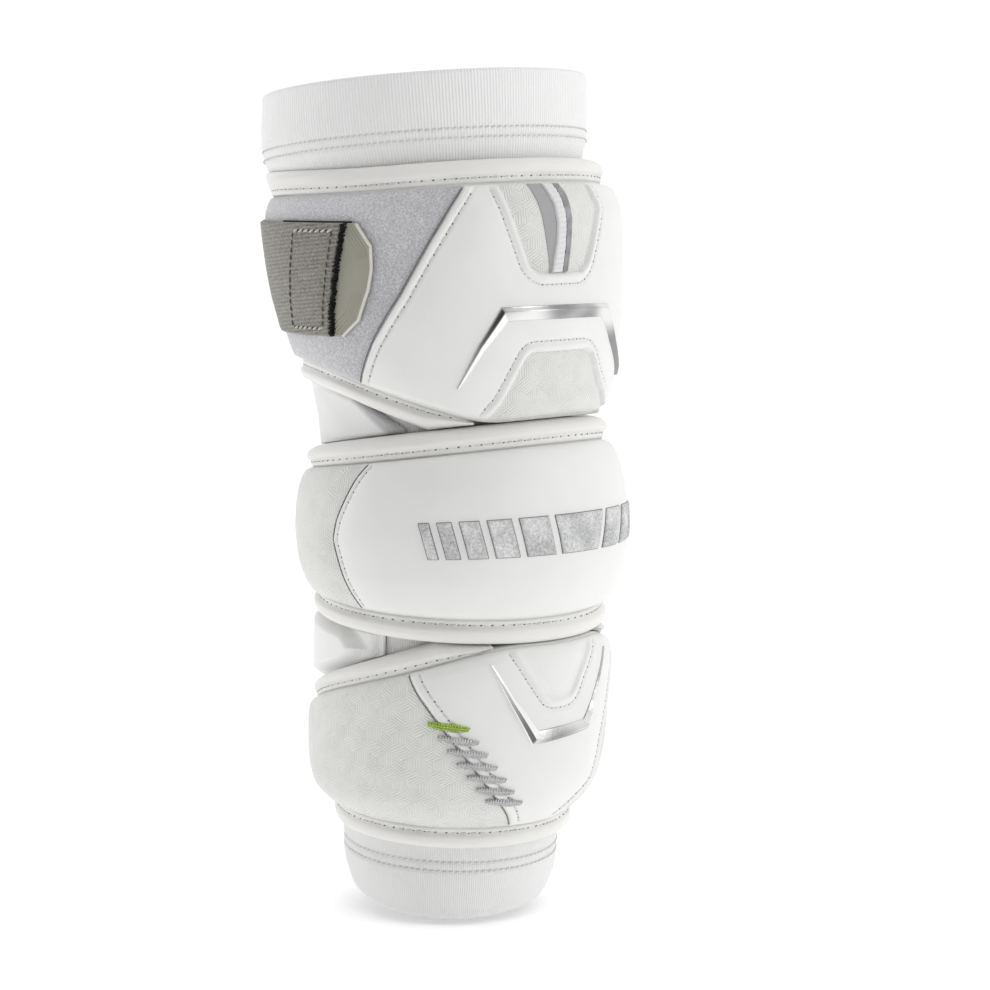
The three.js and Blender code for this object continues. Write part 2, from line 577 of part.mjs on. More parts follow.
function addUpperPad() {
  add('upper_pad', padBody(upper), 'foam');
  const ventLow = VENT_LEFT[0].up;
  const kneeHigh = KNEE_LEFT[KNEE_LEFT.length - 1].up;
  const front = cover(upper, UPPER_LAP_LEFT, UPPER_LAP_RIGHT, LAYER_GAP, PANEL);
  const seamGap = PIECE_GAP / (upper.high(0) - upper.low(0));
  add('upper_front_panel', cutWindows(front, [
    windowCutter(upper, VENT_LEFT, VENT_RIGHT, ventLow - seamGap, 1.03),
    windowCutter(upper, KNEE_LEFT, KNEE_RIGHT, -0.03, kneeHigh + seamGap),
  ]), 'cover');
  add('vent_panel', cover(upper, VENT_LEFT, VENT_RIGHT, LAYER_GAP, INSERT, ventLow), 'embossed');
  const onInsert = 2 * LAYER_GAP + INSERT;
  add('vent_band', cover(upper, BAND_LEFT, moved(MESH_LEFT, -sideGap), onInsert, RIBBON, 0.61, 0.99), 'cover');
  add('vent_mesh', cover(upper, MESH_LEFT, MESH_RIGHT, onInsert, RIBBON / 2, 0.61, 0.99), 'mesh');
  add('upper_insert', cover(upper, KNEE_LEFT, KNEE_RIGHT, LAYER_GAP, INSERT, 0.02, kneeHigh), 'embossed');
  add('loop_field', cover(upper, upright(-coverEnd(upper)), moved(UPPER_LAP_LEFT, -sideGap),
    LAYER_GAP, SIDE_PANEL), 'loop');
  add('upper_side_panel', cover(upper, moved(UPPER_LAP_RIGHT, sideGap), upright(coverEnd(upper)),
    LAYER_GAP, SIDE_PANEL), 'embossed');
  add('upper_chrome_trim', trim(upper, UPPER_TRIM, onFront, TRIM_HEIGHT), 'chrome');
  add('upper_top_binding', binding(-REACH.upper, REACH.upper, BINDING.upperTop, REACH.upper,
    (at) => upperTop(at) - BINDING.height, upperTop), 'binding');
  const meet = (ELBOW_TOP_EDGE - UPPER_BOTTOM_EDGE - BINDING.height) / UPPER_SWEEP + 8;
  [[-1, 'left'], [1, 'right']].forEach(([side, word]) => {
    add(`upper_bottom_binding_${word}`, binding(side * REACH.upper, side * meet, BINDING.upperBottom,
      REACH.upper, (at) => upperBottom(at) + BINDING.height,
      (at) => Math.max(upperBottom(at), elbowTop(at) + PIECE_GAP)), 'binding');
  });
}

function addStrap() {
  const start = [{ across: 0, at: STRAP_START }, { across: 1, at: STRAP_START }];
  const hookStart = STRAP_END.map((row) => ({ across: row.across, at: row.at - HOOK_LENGTH }));
  const onLoop = sideTop + LAYER_GAP;
  const step = HOOK_THICK + LAYER_GAP;
  const hookBack = hookStart[0].at;
  const slack = LAYER_GAP / 2;
  const lift = (at) => onLoop + slack + step * smooth((at - (hookBack - 16)) / 12);
  add('strap', strapBody(start, STRAP_END, lift, STRAP_THICK), 'webbing');
  add('strap_hook', strapBody(hookStart, STRAP_END, () => onLoop, HOOK_THICK), 'hook');
  const tabStart = STRAP_END.map((row) => ({ across: row.across, at: row.at + sideGap }));
  add('pull_tab', strapBody(tabStart, TAB_EDGE, () => onLoop, TAB_THICK), 'rubber');
}

function addElbowPad() {
  add('elbow_pad', padBody(elbow), 'foam');
  add('elbow_front_panel', cover(elbow, mirrored(ELBOW_SEAM), ELBOW_SEAM, LAYER_GAP, PANEL), 'cover');
  add('elbow_side_panel_left', cover(elbow, upright(-coverEnd(elbow)),
    moved(mirrored(ELBOW_SEAM), -sideGap), LAYER_GAP, SIDE_PANEL), 'embossed');
  add('elbow_side_panel_right', cover(elbow, moved(ELBOW_SEAM, sideGap), upright(coverEnd(elbow)),
    LAYER_GAP, SIDE_PANEL), 'embossed');
  add('elbow_top_binding', binding(-REACH.elbow, REACH.elbow, BINDING.elbowTop, REACH.elbow,
    (at) => elbowTop(at) - BINDING.height, elbowTop), 'binding');
  add('elbow_bottom_binding', binding(-REACH.elbow, REACH.elbow, BINDING.elbowBottom, REACH.elbow,
    (at) => elbowBottom(at) + BINDING.height, elbowBottom), 'binding');
}

// Slanted bars across the elbow's front, widest in the middle.
function addEmblem() {
  const radius = ELBOW_RADIUS + ELBOW_FOAM + onFront;
  const [low, high] = [0.385, 0.605];
  const slanted = (at, side) => [
    { up: low, at: at - side * EMBLEM_SLANT / 2 }, { up: high, at: at + side * EMBLEM_SLANT / 2 }];
  const bar = (name, from, to, leanFrom, leanTo) => add(name,
    cover(elbow, slanted(from, leanFrom), slanted(to, leanTo), onFront, EMBLEM_HEIGHT, low, high, 6.5), 'silver');
  const half = degreesOf(EMBLEM_BARS[0], radius);
  const gap = degreesOf(EMBLEM_GAP, radius);
  bar('emblem_bar_middle', -half, half, -1, 1);
  let at = half + gap;
  EMBLEM_BARS.slice(1).forEach((length, i) => {
    const end = at + degreesOf(length, radius);
    bar(`emblem_bar_left_${i + 1}`, -end, -at, -1, -1);
    bar(`emblem_bar_right_${i + 1}`, at, end, 1, 1);
    at = end + gap;
  });
}

function addForearmPad() {
  add('forearm_pad', padBody(forearm), 'foam');
  const crestLow = CREST_LEFT[0].up;
  const seamGap = PIECE_GAP / (forearm.high(0) - forearm.low(0));
  const front = cover(forearm, FOREARM_SEAM_LEFT, FOREARM_SEAM_RIGHT, LAYER_GAP, PANEL);
  add('forearm_front_panel', cutWindows(front, [
    windowCutter(forearm, CREST_LEFT, CREST_RIGHT, crestLow - seamGap, 1.03)]), 'cover');
  add('forearm_insert', cover(forearm, CREST_LEFT, CREST_RIGHT, LAYER_GAP, INSERT, crestLow), 'embossed');
  add('forearm_side_panel_left', cover(forearm, upright(-coverEnd(forearm)),
    moved(FOREARM_SEAM_LEFT, -sideGap), LAYER_GAP, SIDE_PANEL, 0.06), 'embossed');
  add('forearm_side_panel_right', cover(forearm, moved(FOREARM_SEAM_RIGHT, sideGap),
    upright(coverEnd(forearm)), LAYER_GAP, SIDE_PANEL, 0.06), 'embossed');
  add('forearm_chrome_trim', trim(forearm, FOREARM_TRIM, onFront, TRIM_HEIGHT), 'chrome');
  const meet = (FOREARM_TOP_EDGE - ELBOW_BOTTOM_EDGE - BINDING.forearm) / FOREARM_SWEEP + 8;
  [[-1, 'left'], [1, 'right']].forEach(([side, word]) => {
    add(`forearm_top_binding_${word}`, binding(side * REACH.forearm, side * meet, BINDING.forearmTop,
      REACH.forearm, (at) => forearmTop(at) - BINDING.forearm,
      (at) => Math.min(forearmTop(at), elbowBottom(at) - PIECE_GAP)), 'binding');
  });
  add('forearm_bottom_binding', binding(-REACH.forearm, REACH.forearm, BINDING.forearmBottom,
    REACH.forearm, (at) => forearmBottom(at) + BINDING.forearm, forearmBottom), 'binding');
}

// Bar tacks across the forearm's left seam.
function addTacks() {
  const height = forearm.high(-40) - forearm.low(-40);
  const halfWidth = TACK_WIDTH / height / 2;
  const halfLength = degreesOf(TACK_LENGTH, ELBOW_RADIUS + FOREARM_FOAM) / 2;
  const fall = TACK_SLANT / height / 2;
  TACKS.forEach(({ at, up }, i) => {
    const sections = steps(-1, 1, 0.5).map((share) => {
      const full = Math.sqrt(1 - 0.7 * share ** 2);
      const middle = { at: at + share * halfLength, up: up - share * fall };
      const point = (across, lift) => onPad(forearm, middle.at, middle.up + across * halfWidth * full, lift);
      return [point(-1, onFront), point(-0.6, onFront + TACK_HEIGHT * full), point(0.6,
        onFront + TACK_HEIGHT * full), point(1, onFront)];
    });
    add(`bar_tack_${i + 1}`, sweep(sections), i === 0 ? 'lime' : 'silver');
  });
}

function addWings() {
  [[-1, 'left'], [1, 'right']].forEach(([side, word]) => {
    const rise = (at) => ELBOW_TOP_EDGE + UPPER_WING_CUT.above * (Math.abs(at) - UPPER_WING_TIP)
      / (UPPER_WING_CUT.at - UPPER_WING_TIP) + 3;
    add(`upper_wing_${word}`, wing(side, UPPER_WING_TIP, REACH.elbow, (at) => elbowTop(at) + PIECE_GAP,
      (at) => Math.min(upperBottom(at) - PIECE_GAP, rise(at)), WING_UPPER), 'wing');
    add(`lower_wing_${word}`, wing(side, LOWER_WING_TIP, REACH.elbow, (at) => forearmTop(at) + PIECE_GAP,
      (at) => elbowBottom(at) - PIECE_GAP, WING_LOWER), 'wing');
  });
}

addUpperPad();
addStrap();
addElbowPad();
addEmblem();
addForearmPad();
addTacks();
addWings();

export default armPad;
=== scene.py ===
# %% [markdown]
# # A lacrosse arm pad
# The pad is a knit sleeve with three foam pads sewn to it. Nearly everything on it is white, so
# its looks rest on relief: rolled bindings, sewn laps, embossed cloth and rows of stitches.
# The imported model is loaded first.

import math

import bpy
import numpy as np
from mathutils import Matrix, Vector


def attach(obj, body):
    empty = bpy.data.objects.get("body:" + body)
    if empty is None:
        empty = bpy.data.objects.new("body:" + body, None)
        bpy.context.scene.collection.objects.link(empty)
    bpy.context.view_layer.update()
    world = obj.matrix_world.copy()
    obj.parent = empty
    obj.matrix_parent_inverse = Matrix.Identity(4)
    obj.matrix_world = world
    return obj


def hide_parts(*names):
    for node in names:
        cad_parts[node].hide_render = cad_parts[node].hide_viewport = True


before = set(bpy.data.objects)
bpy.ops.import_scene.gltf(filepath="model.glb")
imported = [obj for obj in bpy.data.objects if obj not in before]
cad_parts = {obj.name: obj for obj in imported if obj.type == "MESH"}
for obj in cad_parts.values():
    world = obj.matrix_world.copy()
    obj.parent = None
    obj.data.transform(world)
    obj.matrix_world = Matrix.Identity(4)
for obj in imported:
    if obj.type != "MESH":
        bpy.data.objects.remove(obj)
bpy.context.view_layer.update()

# %% [markdown]
# ## The bent tube
# Every piece lies round the arm, so every point is stated as an angle (0 at the front), a height
# and a radius on a gently bent axis, in millimetres. A mesh could also be modelled flat and bent
# with a modifier, but then neighbouring pieces would not share one surface.
# Short tables of sizes are read with a smooth curve that never overshoots its rows.

# %% Sizes of the arm
UPPER_LENGTH, LOWER_LENGTH = 174.0, 150.5
BICEP, ELBOW, WRIST = 64.2, 49.2, 42.8
SET_BACK, HEM_TILT, BEND_HALF = 5.7, 6.0, 35.0
UPPER_SLOPE, FOREARM_SLOPE = math.tan(math.radians(5.6)), math.tan(math.radians(2.8))
SEAT_GAP, PIECE_GAP, LAYER_GAP, MIN_FOAM = 0.6, 0.4, 0.5, 2.2
SLEEVE_ROWS = np.array([
    (1.000, 1.00, 0.60), (0.862, 0.98, 1.00), (0.816, 0.83, 0.88), (0.760, 0.553, 0.70),
    (0.575, 0.355, 0.60), (0.345, 0.153, 0.53), (0.259, 0.053, 0.53), (0.130, 0.020, 0.51),
    (0.000, 0.000, 0.48), (-0.133, -0.03, 0.44), (-0.266, -0.07, 0.40), (-0.399, -0.11, 0.35),
    (-0.565, -0.31, 0.26), (-0.698, -0.62, 0.20), (-0.764, -0.87, 0.15), (-0.884, -1.00, 0.05),
    (-0.944, -1.20, 0.00), (-1.000, -1.50, 0.00)])


# %% Smooth tables and the bent axis
def curve(xs, ys, x):
    """A smooth curve through the rows that never overshoots them."""
    xs, ys = np.asarray(xs, float), np.asarray(ys, float)
    if xs[0] > xs[-1]:
        xs, ys = xs[::-1], ys[::-1]
    step, rise = np.diff(xs), np.diff(ys)
    slope = rise / step
    lean = np.zeros(len(xs))
    same = slope[1:] * slope[:-1] > 0
    inner = np.where(same, 2 * slope[1:] * slope[:-1] / np.where(same, slope[1:] + slope[:-1], 1), 0)
    lean[1:-1], lean[0], lean[-1] = inner, slope[0], slope[-1]
    x = np.clip(x, xs[0], xs[-1])
    i = np.clip(np.searchsorted(xs, x) - 1, 0, len(step) - 1)
    t = (x - xs[i]) / step[i]
    return (ys[i] * (1 + 2 * t) * (1 - t) ** 2 + ys[i + 1] * t * t * (3 - 2 * t)
            + step[i] * (lean[i] * t * (1 - t) ** 2 + lean[i + 1] * t * t * (t - 1)))


def smooth(x):
    t = np.clip(x, 0, 1)
    return t * t * (3 - 2 * t)


def on_arm(at, z, r):
    """Metres in the frame, from degrees, millimetres of height and millimetres from the axis."""
    at, z, r = np.broadcast_arrays(np.radians(at), z, r)
    bend = np.clip(z, -BEND_HALF, BEND_HALF)
    k = (UPPER_SLOPE + FOREARM_SLOPE) / (4 * BEND_HALF)
    centre = -FOREARM_SLOPE * bend + k * ((bend + BEND_HALF) ** 2 - BEND_HALF ** 2)
    centre += np.maximum(0, z - BEND_HALF) * UPPER_SLOPE
    centre -= np.minimum(0, z + BEND_HALF) * FOREARM_SLOPE
    tilt = np.arctan(-FOREARM_SLOPE + 2 * k * (bend + BEND_HALF))
    ahead = -r * np.cos(at)
    return np.stack([r * np.sin(at), centre + ahead * np.cos(tilt), z - ahead * np.sin(tilt)], -1) / 1000


ROW_Z = SLEEVE_ROWS[:, 0] * np.where(SLEEVE_ROWS[:, 0] > 0, UPPER_LENGTH, LOWER_LENGTH)
ROW_R = ELBOW + SLEEVE_ROWS[:, 1] * np.where(SLEEVE_ROWS[:, 1] > 0, BICEP - ELBOW, ELBOW - WRIST)


def sleeve_radius(z):
    return curve(ROW_Z, ROW_R, z)


def sleeve_surface(at, z, offset=0.0):
    """The sleeve's radius from the pads' axis. It sits a little behind that axis."""
    back = curve(ROW_Z, SLEEVE_ROWS[:, 2] * SET_BACK, z)
    return (-back * np.cos(np.radians(at))
            + np.sqrt((sleeve_radius(z) + offset) ** 2 - (back * np.sin(np.radians(at))) ** 2))


print("sleeve, top to wrist", round(float(ROW_Z[0] - ROW_Z[-1]), 1), "mm")

# %% [markdown]
# ## The three pads
# A pad is a shell of foam between a lower and an upper seam. Its thickness swells between the
# seams and fades at its ends. The covers, bindings and trims all ask the same functions where the
# foam's surface is, so they follow one form and nothing needs to be fitted by hand.


# %% Edges and foam of the pads
def rounded_max(a, b, blend=5.0):
    near = np.maximum(0, blend - np.abs(a - b)) / blend
    return np.maximum(a, b) + near * near * blend / 4


BIND, FOREARM_BIND = 8.5, 8.0
UPPER_LOW, UPPER_RISE, ELBOW_HIGH = 18, 0.405, 38


def upper_top(at):
    return 140 + 4 * smooth((np.abs(at) - 60) / 80)


def upper_bottom(at):
    return UPPER_LOW - UPPER_RISE * rounded_max(-np.abs(at), -107.0, 24.0)


def elbow_top(at):
    return ELBOW_HIGH + 3 * np.cos(np.radians(at))


def elbow_bottom(at):
    return -36.6 + 2.6 * (at / 135) ** 2


def forearm_top(at):
    return -18.5 - 0.34 * np.abs(at)


def forearm_bottom(at):
    return -120 + 0 * np.asarray(at, float)


class Pad:
    """One foam pad: its seams, its swell and how far round the arm it reaches."""

    def __init__(self, foam, swell, reach, low, high, flat_radius):
        self.foam, self.swell, self.reach = foam, np.array(swell), reach
        self.low, self.high, self.flat_radius = low, high, flat_radius
        self.relief = lambda x, y: 0 * x

    def thinning(self, at):
        back = 1 - 0.18 * smooth((np.abs(at) - 95) / 55)
        end = np.clip((self.reach - np.abs(at)) / 8, 0, 1)
        return back * (0.55 + 0.45 * np.sqrt(1 - (1 - end) ** 2))

    def place(self, at, up):
        return self.low(at) + up * (self.high(at) - self.low(at))

    def surface(self, at, up):
        """Height and radius of the foam's surface, in millimetres."""
        z = self.place(at, up)
        foam = self.foam * curve(self.swell[:, 0], self.swell[:, 1], up) * self.thinning(at)
        return z, np.maximum(sleeve_radius(z) + foam, sleeve_surface(at, z, SEAT_GAP) + MIN_FOAM)

    def to_flat(self, at, up):
        """The pad unrolled: millimetres round it and up it."""
        return np.radians(at) * self.flat_radius, self.place(at, up)

    def from_flat(self, x, y):
        at = np.degrees(x / self.flat_radius)
        return at, (y - self.low(at)) / (self.high(at) - self.low(at))

    def point(self, x, y, lift):
        """Metres, from a place on the unrolled pad and a height over its foam."""
        at, up = self.from_flat(x, y)
        z, r = self.surface(at, up)
        return on_arm(at, z, r + lift)


upper = Pad(13.4, [(0, .49), (.04, .65), (.16, .80), (.28, .88), (.42, .97), (.60, 1), (.76, .985),
                   (.86, .94), (.95, .74), (1, .51)], 150,
            lambda at: rounded_max(upper_bottom(at) + BIND, elbow_top(at)) + PIECE_GAP,
            lambda at: upper_top(at) - BIND - PIECE_GAP, 74.0)
elbow = Pad(15.65, [(0, .52), (.05, .64), (.12, .77), (.26, .93), (.50, 1), (.66, .965), (.79, .89),
                    (.92, .73), (1, .53)], 145,
            lambda at: elbow_bottom(at) + BIND + PIECE_GAP,
            lambda at: elbow_top(at) - BIND - PIECE_GAP, 66.0)
forearm = Pad(12.1, [(0, .24), (.08, .59), (.14, .78), (.21, .91), (.40, 1), (.60, .985), (.80, .95),
                     (.93, .86), (1, .66)], 148,
              lambda at: forearm_bottom(at) + FOREARM_BIND + PIECE_GAP,
              lambda at: -rounded_max(-(forearm_top(at) - FOREARM_BIND), -elbow_bottom(at)) - PIECE_GAP,
              60.0)
PADS = {"upper": upper, "elbow": elbow, "forearm": forearm}
for name, pad in PADS.items():
    print(name, "pad at the front from", round(float(pad.low(0)), 1), "to", round(float(pad.high(0)), 1))

# %% [markdown]
# ## Shader maths as plain arithmetic
# A material graph is easier to read as an expression. One small class wraps a socket, and its
# operators add Math nodes. Everything else goes through one method that adds any node.


# %% Sockets and finishes
class Val:
    """A number that comes out of a node."""

    def __init__(self, made, socket):
        self.made, self.socket = made, socket

    def math(self, operation, *others):
        return self.made.node("Math", {"operation": operation}, dict(enumerate((self, *others))))

    def __rsub__(self, other):
        return self.made.node("Math", {"operation": "SUBTRACT"}, {0: other, 1: self})

    def ramp(self, low, high):
        return self.made.node("MapRange", {"interpolation_type": "SMOOTHSTEP"},
                              {"Value": self, "From Min": low, "From Max": high})


for method, operation in (("__add__", "ADD"), ("__radd__", "ADD"), ("__mul__", "MULTIPLY"),
                          ("__rmul__", "MULTIPLY"), ("__sub__", "SUBTRACT"), ("__truediv__", "DIVIDE"),
                          ("__mod__", "FLOORED_MODULO"), ("__abs__", "ABSOLUTE"), ("sin", "SINE"),
                          ("above", "GREATER_THAN")):
    setattr(Val, method, lambda self, *others, operation=operation: self.math(operation, *others))


def linear(colour):
    """A screen colour from 0 to 255, as the renderer's linear light."""
    return tuple(((c / 255 + 0.055) / 1.055) ** 2.4 if c > 10 else c / 255 / 12.92 for c in colour) + (1.0,)


class Finish:
    """A material: places on the piece, any node, and its surface."""

    def __init__(self, name):
        self.material = bpy.data.materials.new(name)
        self.material.use_nodes = True
        self.tree = self.material.node_tree
        self.tree.nodes.clear()
        flat = self.node("UVMap", {"uv_map": "flat"})
        self.across = self.node("SeparateXYZ", {}, {0: flat}, 0)
        self.up = self.node("SeparateXYZ", {}, {0: flat}, 1)
        self.spot = self.node("TexCoord", {}, {}, "Object")

    def node(self, kind, settings=None, sockets=None, out=0):
        made = self.tree.nodes.new("ShaderNode" + kind)
        for key, value in (settings or {}).items():
            setattr(made, key, value)
        for key, value in (sockets or {}).items():
            if isinstance(value, Val):
                self.tree.links.new(value.socket, made.inputs[key])
            else:
                made.inputs[key].default_value = value
        return Val(self, made.outputs[out])

    def noise(self, scale, detail=3.0, roughness=0.55):
        """Noise from 0 to 1, in features each metre."""
        return self.node("TexNoise", {}, {"Vector": self.spot, "Scale": scale, "Detail": detail,
                                          "Roughness": roughness}, "Fac")

    def mix(self, share, first, second):
        """Blends two screen colours, or what another blend gives."""
        first, second = (c if isinstance(c, Val) else linear(c) for c in (first, second))
        return self.node("Mix", {"data_type": "RGBA"}, {0: share, 6: first, 7: second}, 2)

    def surface(self, colour, roughness, height, depth, **constants):
        """Principled surface. The height runs from 0 to 1 and depth is its real depth in metres."""
        bump = self.node("Bump", {}, {"Height": height, "Strength": 1.0, "Distance": depth})
        shader = self.node("BsdfPrincipled", {}, {
            "Base Color": colour, "Roughness": roughness, "Normal": bump,
            **{key.replace("_", " "): value for key, value in constants.items()}})
        output = self.tree.nodes.new("ShaderNodeOutputMaterial")
        self.tree.links.new(shader.socket, output.inputs["Surface"])
        return self.material


# %% [markdown]
# ## Smooth synthetic leather
# The main covers are a soft white synthetic leather with a very fine grain and a low sheen. A
# voronoi pattern would look like animal hide, so two sizes of faint noise are used.

# %% Leather, binding tape and foam
def leather(name, colour, roughness, grain, sheen):
    f = Finish(name)
    fine, broad = f.noise(2600, 2), f.noise(60, 3)
    tint = f.mix(broad, colour, [c - 7 for c in colour])
    return f.surface(tint, roughness + 0.12 * (fine - 0.5), fine * 0.7 + f.noise(700, 2) * 0.3, grain,
                     Sheen_Weight=sheen, Sheen_Roughness=0.5)


COVER = leather("white_leather", (240, 240, 238), 0.46, 0.00006, 0.05)
TAPE = leather("binding_tape", (239, 238, 235), 0.5, 0.0001, 0.1)
FOAM = leather("foam_backing", (232, 232, 229), 0.75, 0.0003, 0.2)
print("leathers made")

# %% [markdown]
# ## Embossed cloth
# The side panels are embossed with tiles of fine parallel lines that turn by 120 degrees from
# tile to tile. The tiles come from a hexagon grid: each point finds the nearest hexagon's middle,
# the third of the hexagon that it lies in picks a direction, and the lines run along it.


# %% Embossed panels
def embossed(name, colour, cell, pitch):
    f = Finish(name)
    third, tall = math.sqrt(3) / 2, math.sqrt(3)
    x, y = f.across / cell, f.up / cell
    ax, ay = x % 1.0 - 0.5, y % tall - tall / 2
    bx, by = (x - 0.5) % 1.0 - 0.5, (y - tall / 2) % tall - tall / 2
    first = (bx * bx + by * by).above(ax * ax + ay * ay)
    gx, gy = first * (ax - bx) + bx, first * (ay - by) + by
    p0, p1, p2 = gx, gx * -0.5 + gy * third, gx * -0.5 - gy * third
    in0 = p0.above(p1) * p0.above(p2)
    in1 = (1 - in0) * p1.above(p2)
    in2 = 1 - in0 - in1
    line = in0 * (gx * 0.5 + gy * third) + in1 * (gx * -1.0) + in2 * (gx * 0.5 - gy * third)
    turned = f.noise(90, 0).above(0.56)
    ridge = (line * (2 * math.pi * cell / pitch)).sin() * 0.5 + 0.5
    height = ridge * (0.8 + 0.2 * turned) * 0.8 + f.noise(2400, 2) * 0.2
    tint = f.mix(ridge, [c - 12 for c in colour], colour)
    return f.surface(tint, 0.5 + 0.1 * (0.5 - ridge), height, 0.00028, Sheen_Weight=0.08,
                     Sheen_Roughness=0.5)


EMBOSSED = embossed("embossed_leather", (236, 236, 233), 11.0, 1.05)

# %% [markdown]
# ## Knit, mesh and webbing
# The sleeve is a ribbed stretch knit: upright ribs about 1.1 mm apart with tiny loops in each.
# The strap is coarse webbing with ribs along it. Waves of the unrolled position draw both, which
# keeps the ribs true to the thread count however the piece curves.


# %% Woven finishes
def woven(name, colour, dark, pitch, loop, depth, blotch, roughness, fold=None):
    """Ribs across the piece at one pitch, loops up it at another. fold says where painted shade makes the
    cloth greyer.
    """
    f = Finish(name)
    rib = (f.across * (2 * math.pi / pitch)).sin() * 0.5 + 0.5
    stitch = (f.up * (2 * math.pi / loop) + rib * 2.0).sin() * 0.5 + 0.5
    fuzz = f.noise(1900, 3)
    height = rib * 0.55 + rib * stitch * 0.25 + fuzz * 0.2
    tint = f.mix(height + blotch * (f.noise(160, 4) - 0.5), dark, colour)
    if fold:
        # painted shade: grey where fold says
        tint = f.mix(fold(f), tint, (164, 164, 166))
    return f.surface(tint, roughness, height, depth, Sheen_Weight=0.25, Sheen_Roughness=0.6)


def under_pad_shade(f):
    """Painted shade on the wedge of the upper wing that turns in under the pad, widest at the wing's tip."""
    x = abs(f.across)
    below_edge, wedge = 2.3 + x * 0.61 - f.up, (90 - x) * 0.25
    return (1 - (below_edge - wedge).ramp(-1.0, 2.5)) * 0.7


KNIT = woven("ribbed_knit", (249, 249, 248), (232, 232, 232), 1.1, 0.9, 0.0002, 0.3, 0.85)
WING = woven("wing_knit", (247, 247, 246), (238, 238, 237), 0.8, 0.7, 0.00008, 0.3, 0.75)
# the upper wing's knit carries painted shade where it turns in under the pad
UPPER_WING = woven("upper_wing_knit", (247, 247, 246), (232, 232, 232), 0.8, 0.7, 0.00015, 0.3, 0.75,
                   fold=under_pad_shade)
VENT_MESH = woven("vent_mesh", (196, 197, 199), (84, 85, 88), 0.7, 0.7, 0.0002, 1.2, 0.75)
RIBBED = woven("ribbed_tape", (244, 244, 244), (222, 222, 222), 40.0, 1.9, 0.0005, 0.2, 0.6)


def webbing(name):
    """Ribs along the strap, crossed by fine threads."""
    f = Finish(name)
    rib = (f.up * (2 * math.pi / 1.45)).sin() * 0.5 + 0.5
    thread = (f.across * (2 * math.pi / 0.75) + rib.above(0.5) * math.pi).sin() * 0.5 + 0.5
    height = rib * 0.6 + thread * 0.25 + f.noise(1500, 3) * 0.15
    tint = f.mix(height * 0.55 + 0.2 + 2.0 * (f.noise(1100, 4) - 0.5), (94, 91, 85), (164, 160, 151))
    return f.surface(tint, 0.72, height, 0.0003, Sheen_Weight=0.3, Sheen_Roughness=0.5)


WEBBING = webbing("strap_webbing")


def fuzzy(name, colour, dark, scale, depth, low, high, sheen=0.5):
    """Brushed loops or short hooks: clumps of noise with fine hairs, and painted shade towards the lower
    right, along the front cover's lap.
    """
    f = Finish(name)
    clump, hair = f.noise(scale, 5, 0.65), f.noise(scale * 4, 2)
    height = clump.ramp(low, high) * 0.7 + hair * 0.3
    # painted shade beside the lap of the front cover, which lies over the loop cloth
    lap_shade = (f.across - f.up * 0.62).ramp(-190, -100) * 0.35
    tint = f.mix(height + 0.25 * (f.noise(120, 3) - 0.5) - lap_shade, dark, colour)
    return f.surface(tint, 0.95, height, depth, Sheen_Weight=sheen, Sheen_Roughness=0.6)


LOOP = fuzzy("loop_cloth", (253, 253, 255), (184, 184, 190), 1250, 0.0003, 0.3, 0.7)
HOOK = fuzzy("hook_cloth", (26, 23, 21), (7, 6, 6), 900, 0.0012, 0.35, 0.65, sheen=0.0)
print("woven finishes made")

# %% [markdown]
# ## Bright trims, rubber and threads
# The trims are bright metallic plastic, which shows the light around it. A plain white room gives
# it little to show, so a painted reflection is in their colour, with light and dark faces by place along the
# bar.
# Threads are close parallel strands, and the elbow's embroidery is partly metallic.


# %% Trim, rubber and thread
def chrome(name):
    """Painted reflection in the colour: a dark band on the first leg and light and dark streaks on the rest.
    Across runs from 0 at the outer edge to 10. Up is the place along, 10 for each part of the bar.
    """
    f = Finish(name)
    reflection_streaks = f.noise(38, 1).ramp(0.36, 0.62)
    leg = 1 - f.up.ramp(19.6, 20.4)
    dark_facet_reflection = f.across.ramp(0.8, 1.6) * (1 - f.across.ramp(4.2, 5.0)) * (f.up.ramp(2, 19) * 0.5 + 0.4)
    # painted reflection: a dark band on the first leg and light and dark streaks on the rest
    tint = f.mix(leg * dark_facet_reflection + (1 - leg) * (reflection_streaks * 0.6 + 0.12), (238, 238, 237), (66, 69, 70))
    return f.surface(tint, 0.2 + 0.08 * reflection_streaks, f.noise(160, 2), 0.00012, Metallic=1.0)


def rubber(name, colour):
    f = Finish(name)
    fine = f.noise(1800, 3)
    tint = f.mix(f.noise(90, 3), colour, [c - 14 for c in colour])
    return f.surface(tint, 0.5 + 0.15 * fine, fine, 0.00008, Coat_Weight=0.05)


def embroidery(name, colour, dark, pitch, slant=0.35, far_end_highlight=0.0):
    """Strands along a stitch. The last argument paints a highlight, so the stitch is paler towards its far
    end.
    """
    f = Finish(name)
    strand = ((f.across + f.up * slant) * (2 * math.pi / pitch)).sin() * 0.5 + 0.5
    knots = f.noise(1400, 4, 0.7)
    height = strand * 0.6 + knots * 0.4
    # painted highlight: the colour grows paler towards the far end
    tint = f.mix(height.ramp(0.2, 0.85) + f.across * far_end_highlight, dark, colour)
    return f.surface(tint, 0.42 + 0.2 * knots, height, 0.00012)


def satin(name, colour, dark):
    """Dense metallic embroidery seen from afar: fine strands broken up into dull and bright flecks; the
    bright flecks are painted glints.
    """
    f = Finish(name)
    strand = ((f.across + f.up * 0.35) * (2 * math.pi / 0.42)).sin() * 0.5 + 0.5
    glint_specks = f.noise(1100, 4, 0.75).ramp(0.3, 0.7)
    height = strand * 0.3 + glint_specks * 0.7
    # painted glints: bright flecks and broad lighter patches in the colour
    tint = f.mix(height * 0.8 + f.noise(90, 2).ramp(0.4, 0.65) * 0.3, dark, colour)
    return f.surface(tint, 0.45 - 0.12 * glint_specks, height, 0.0002, Metallic=0.4)


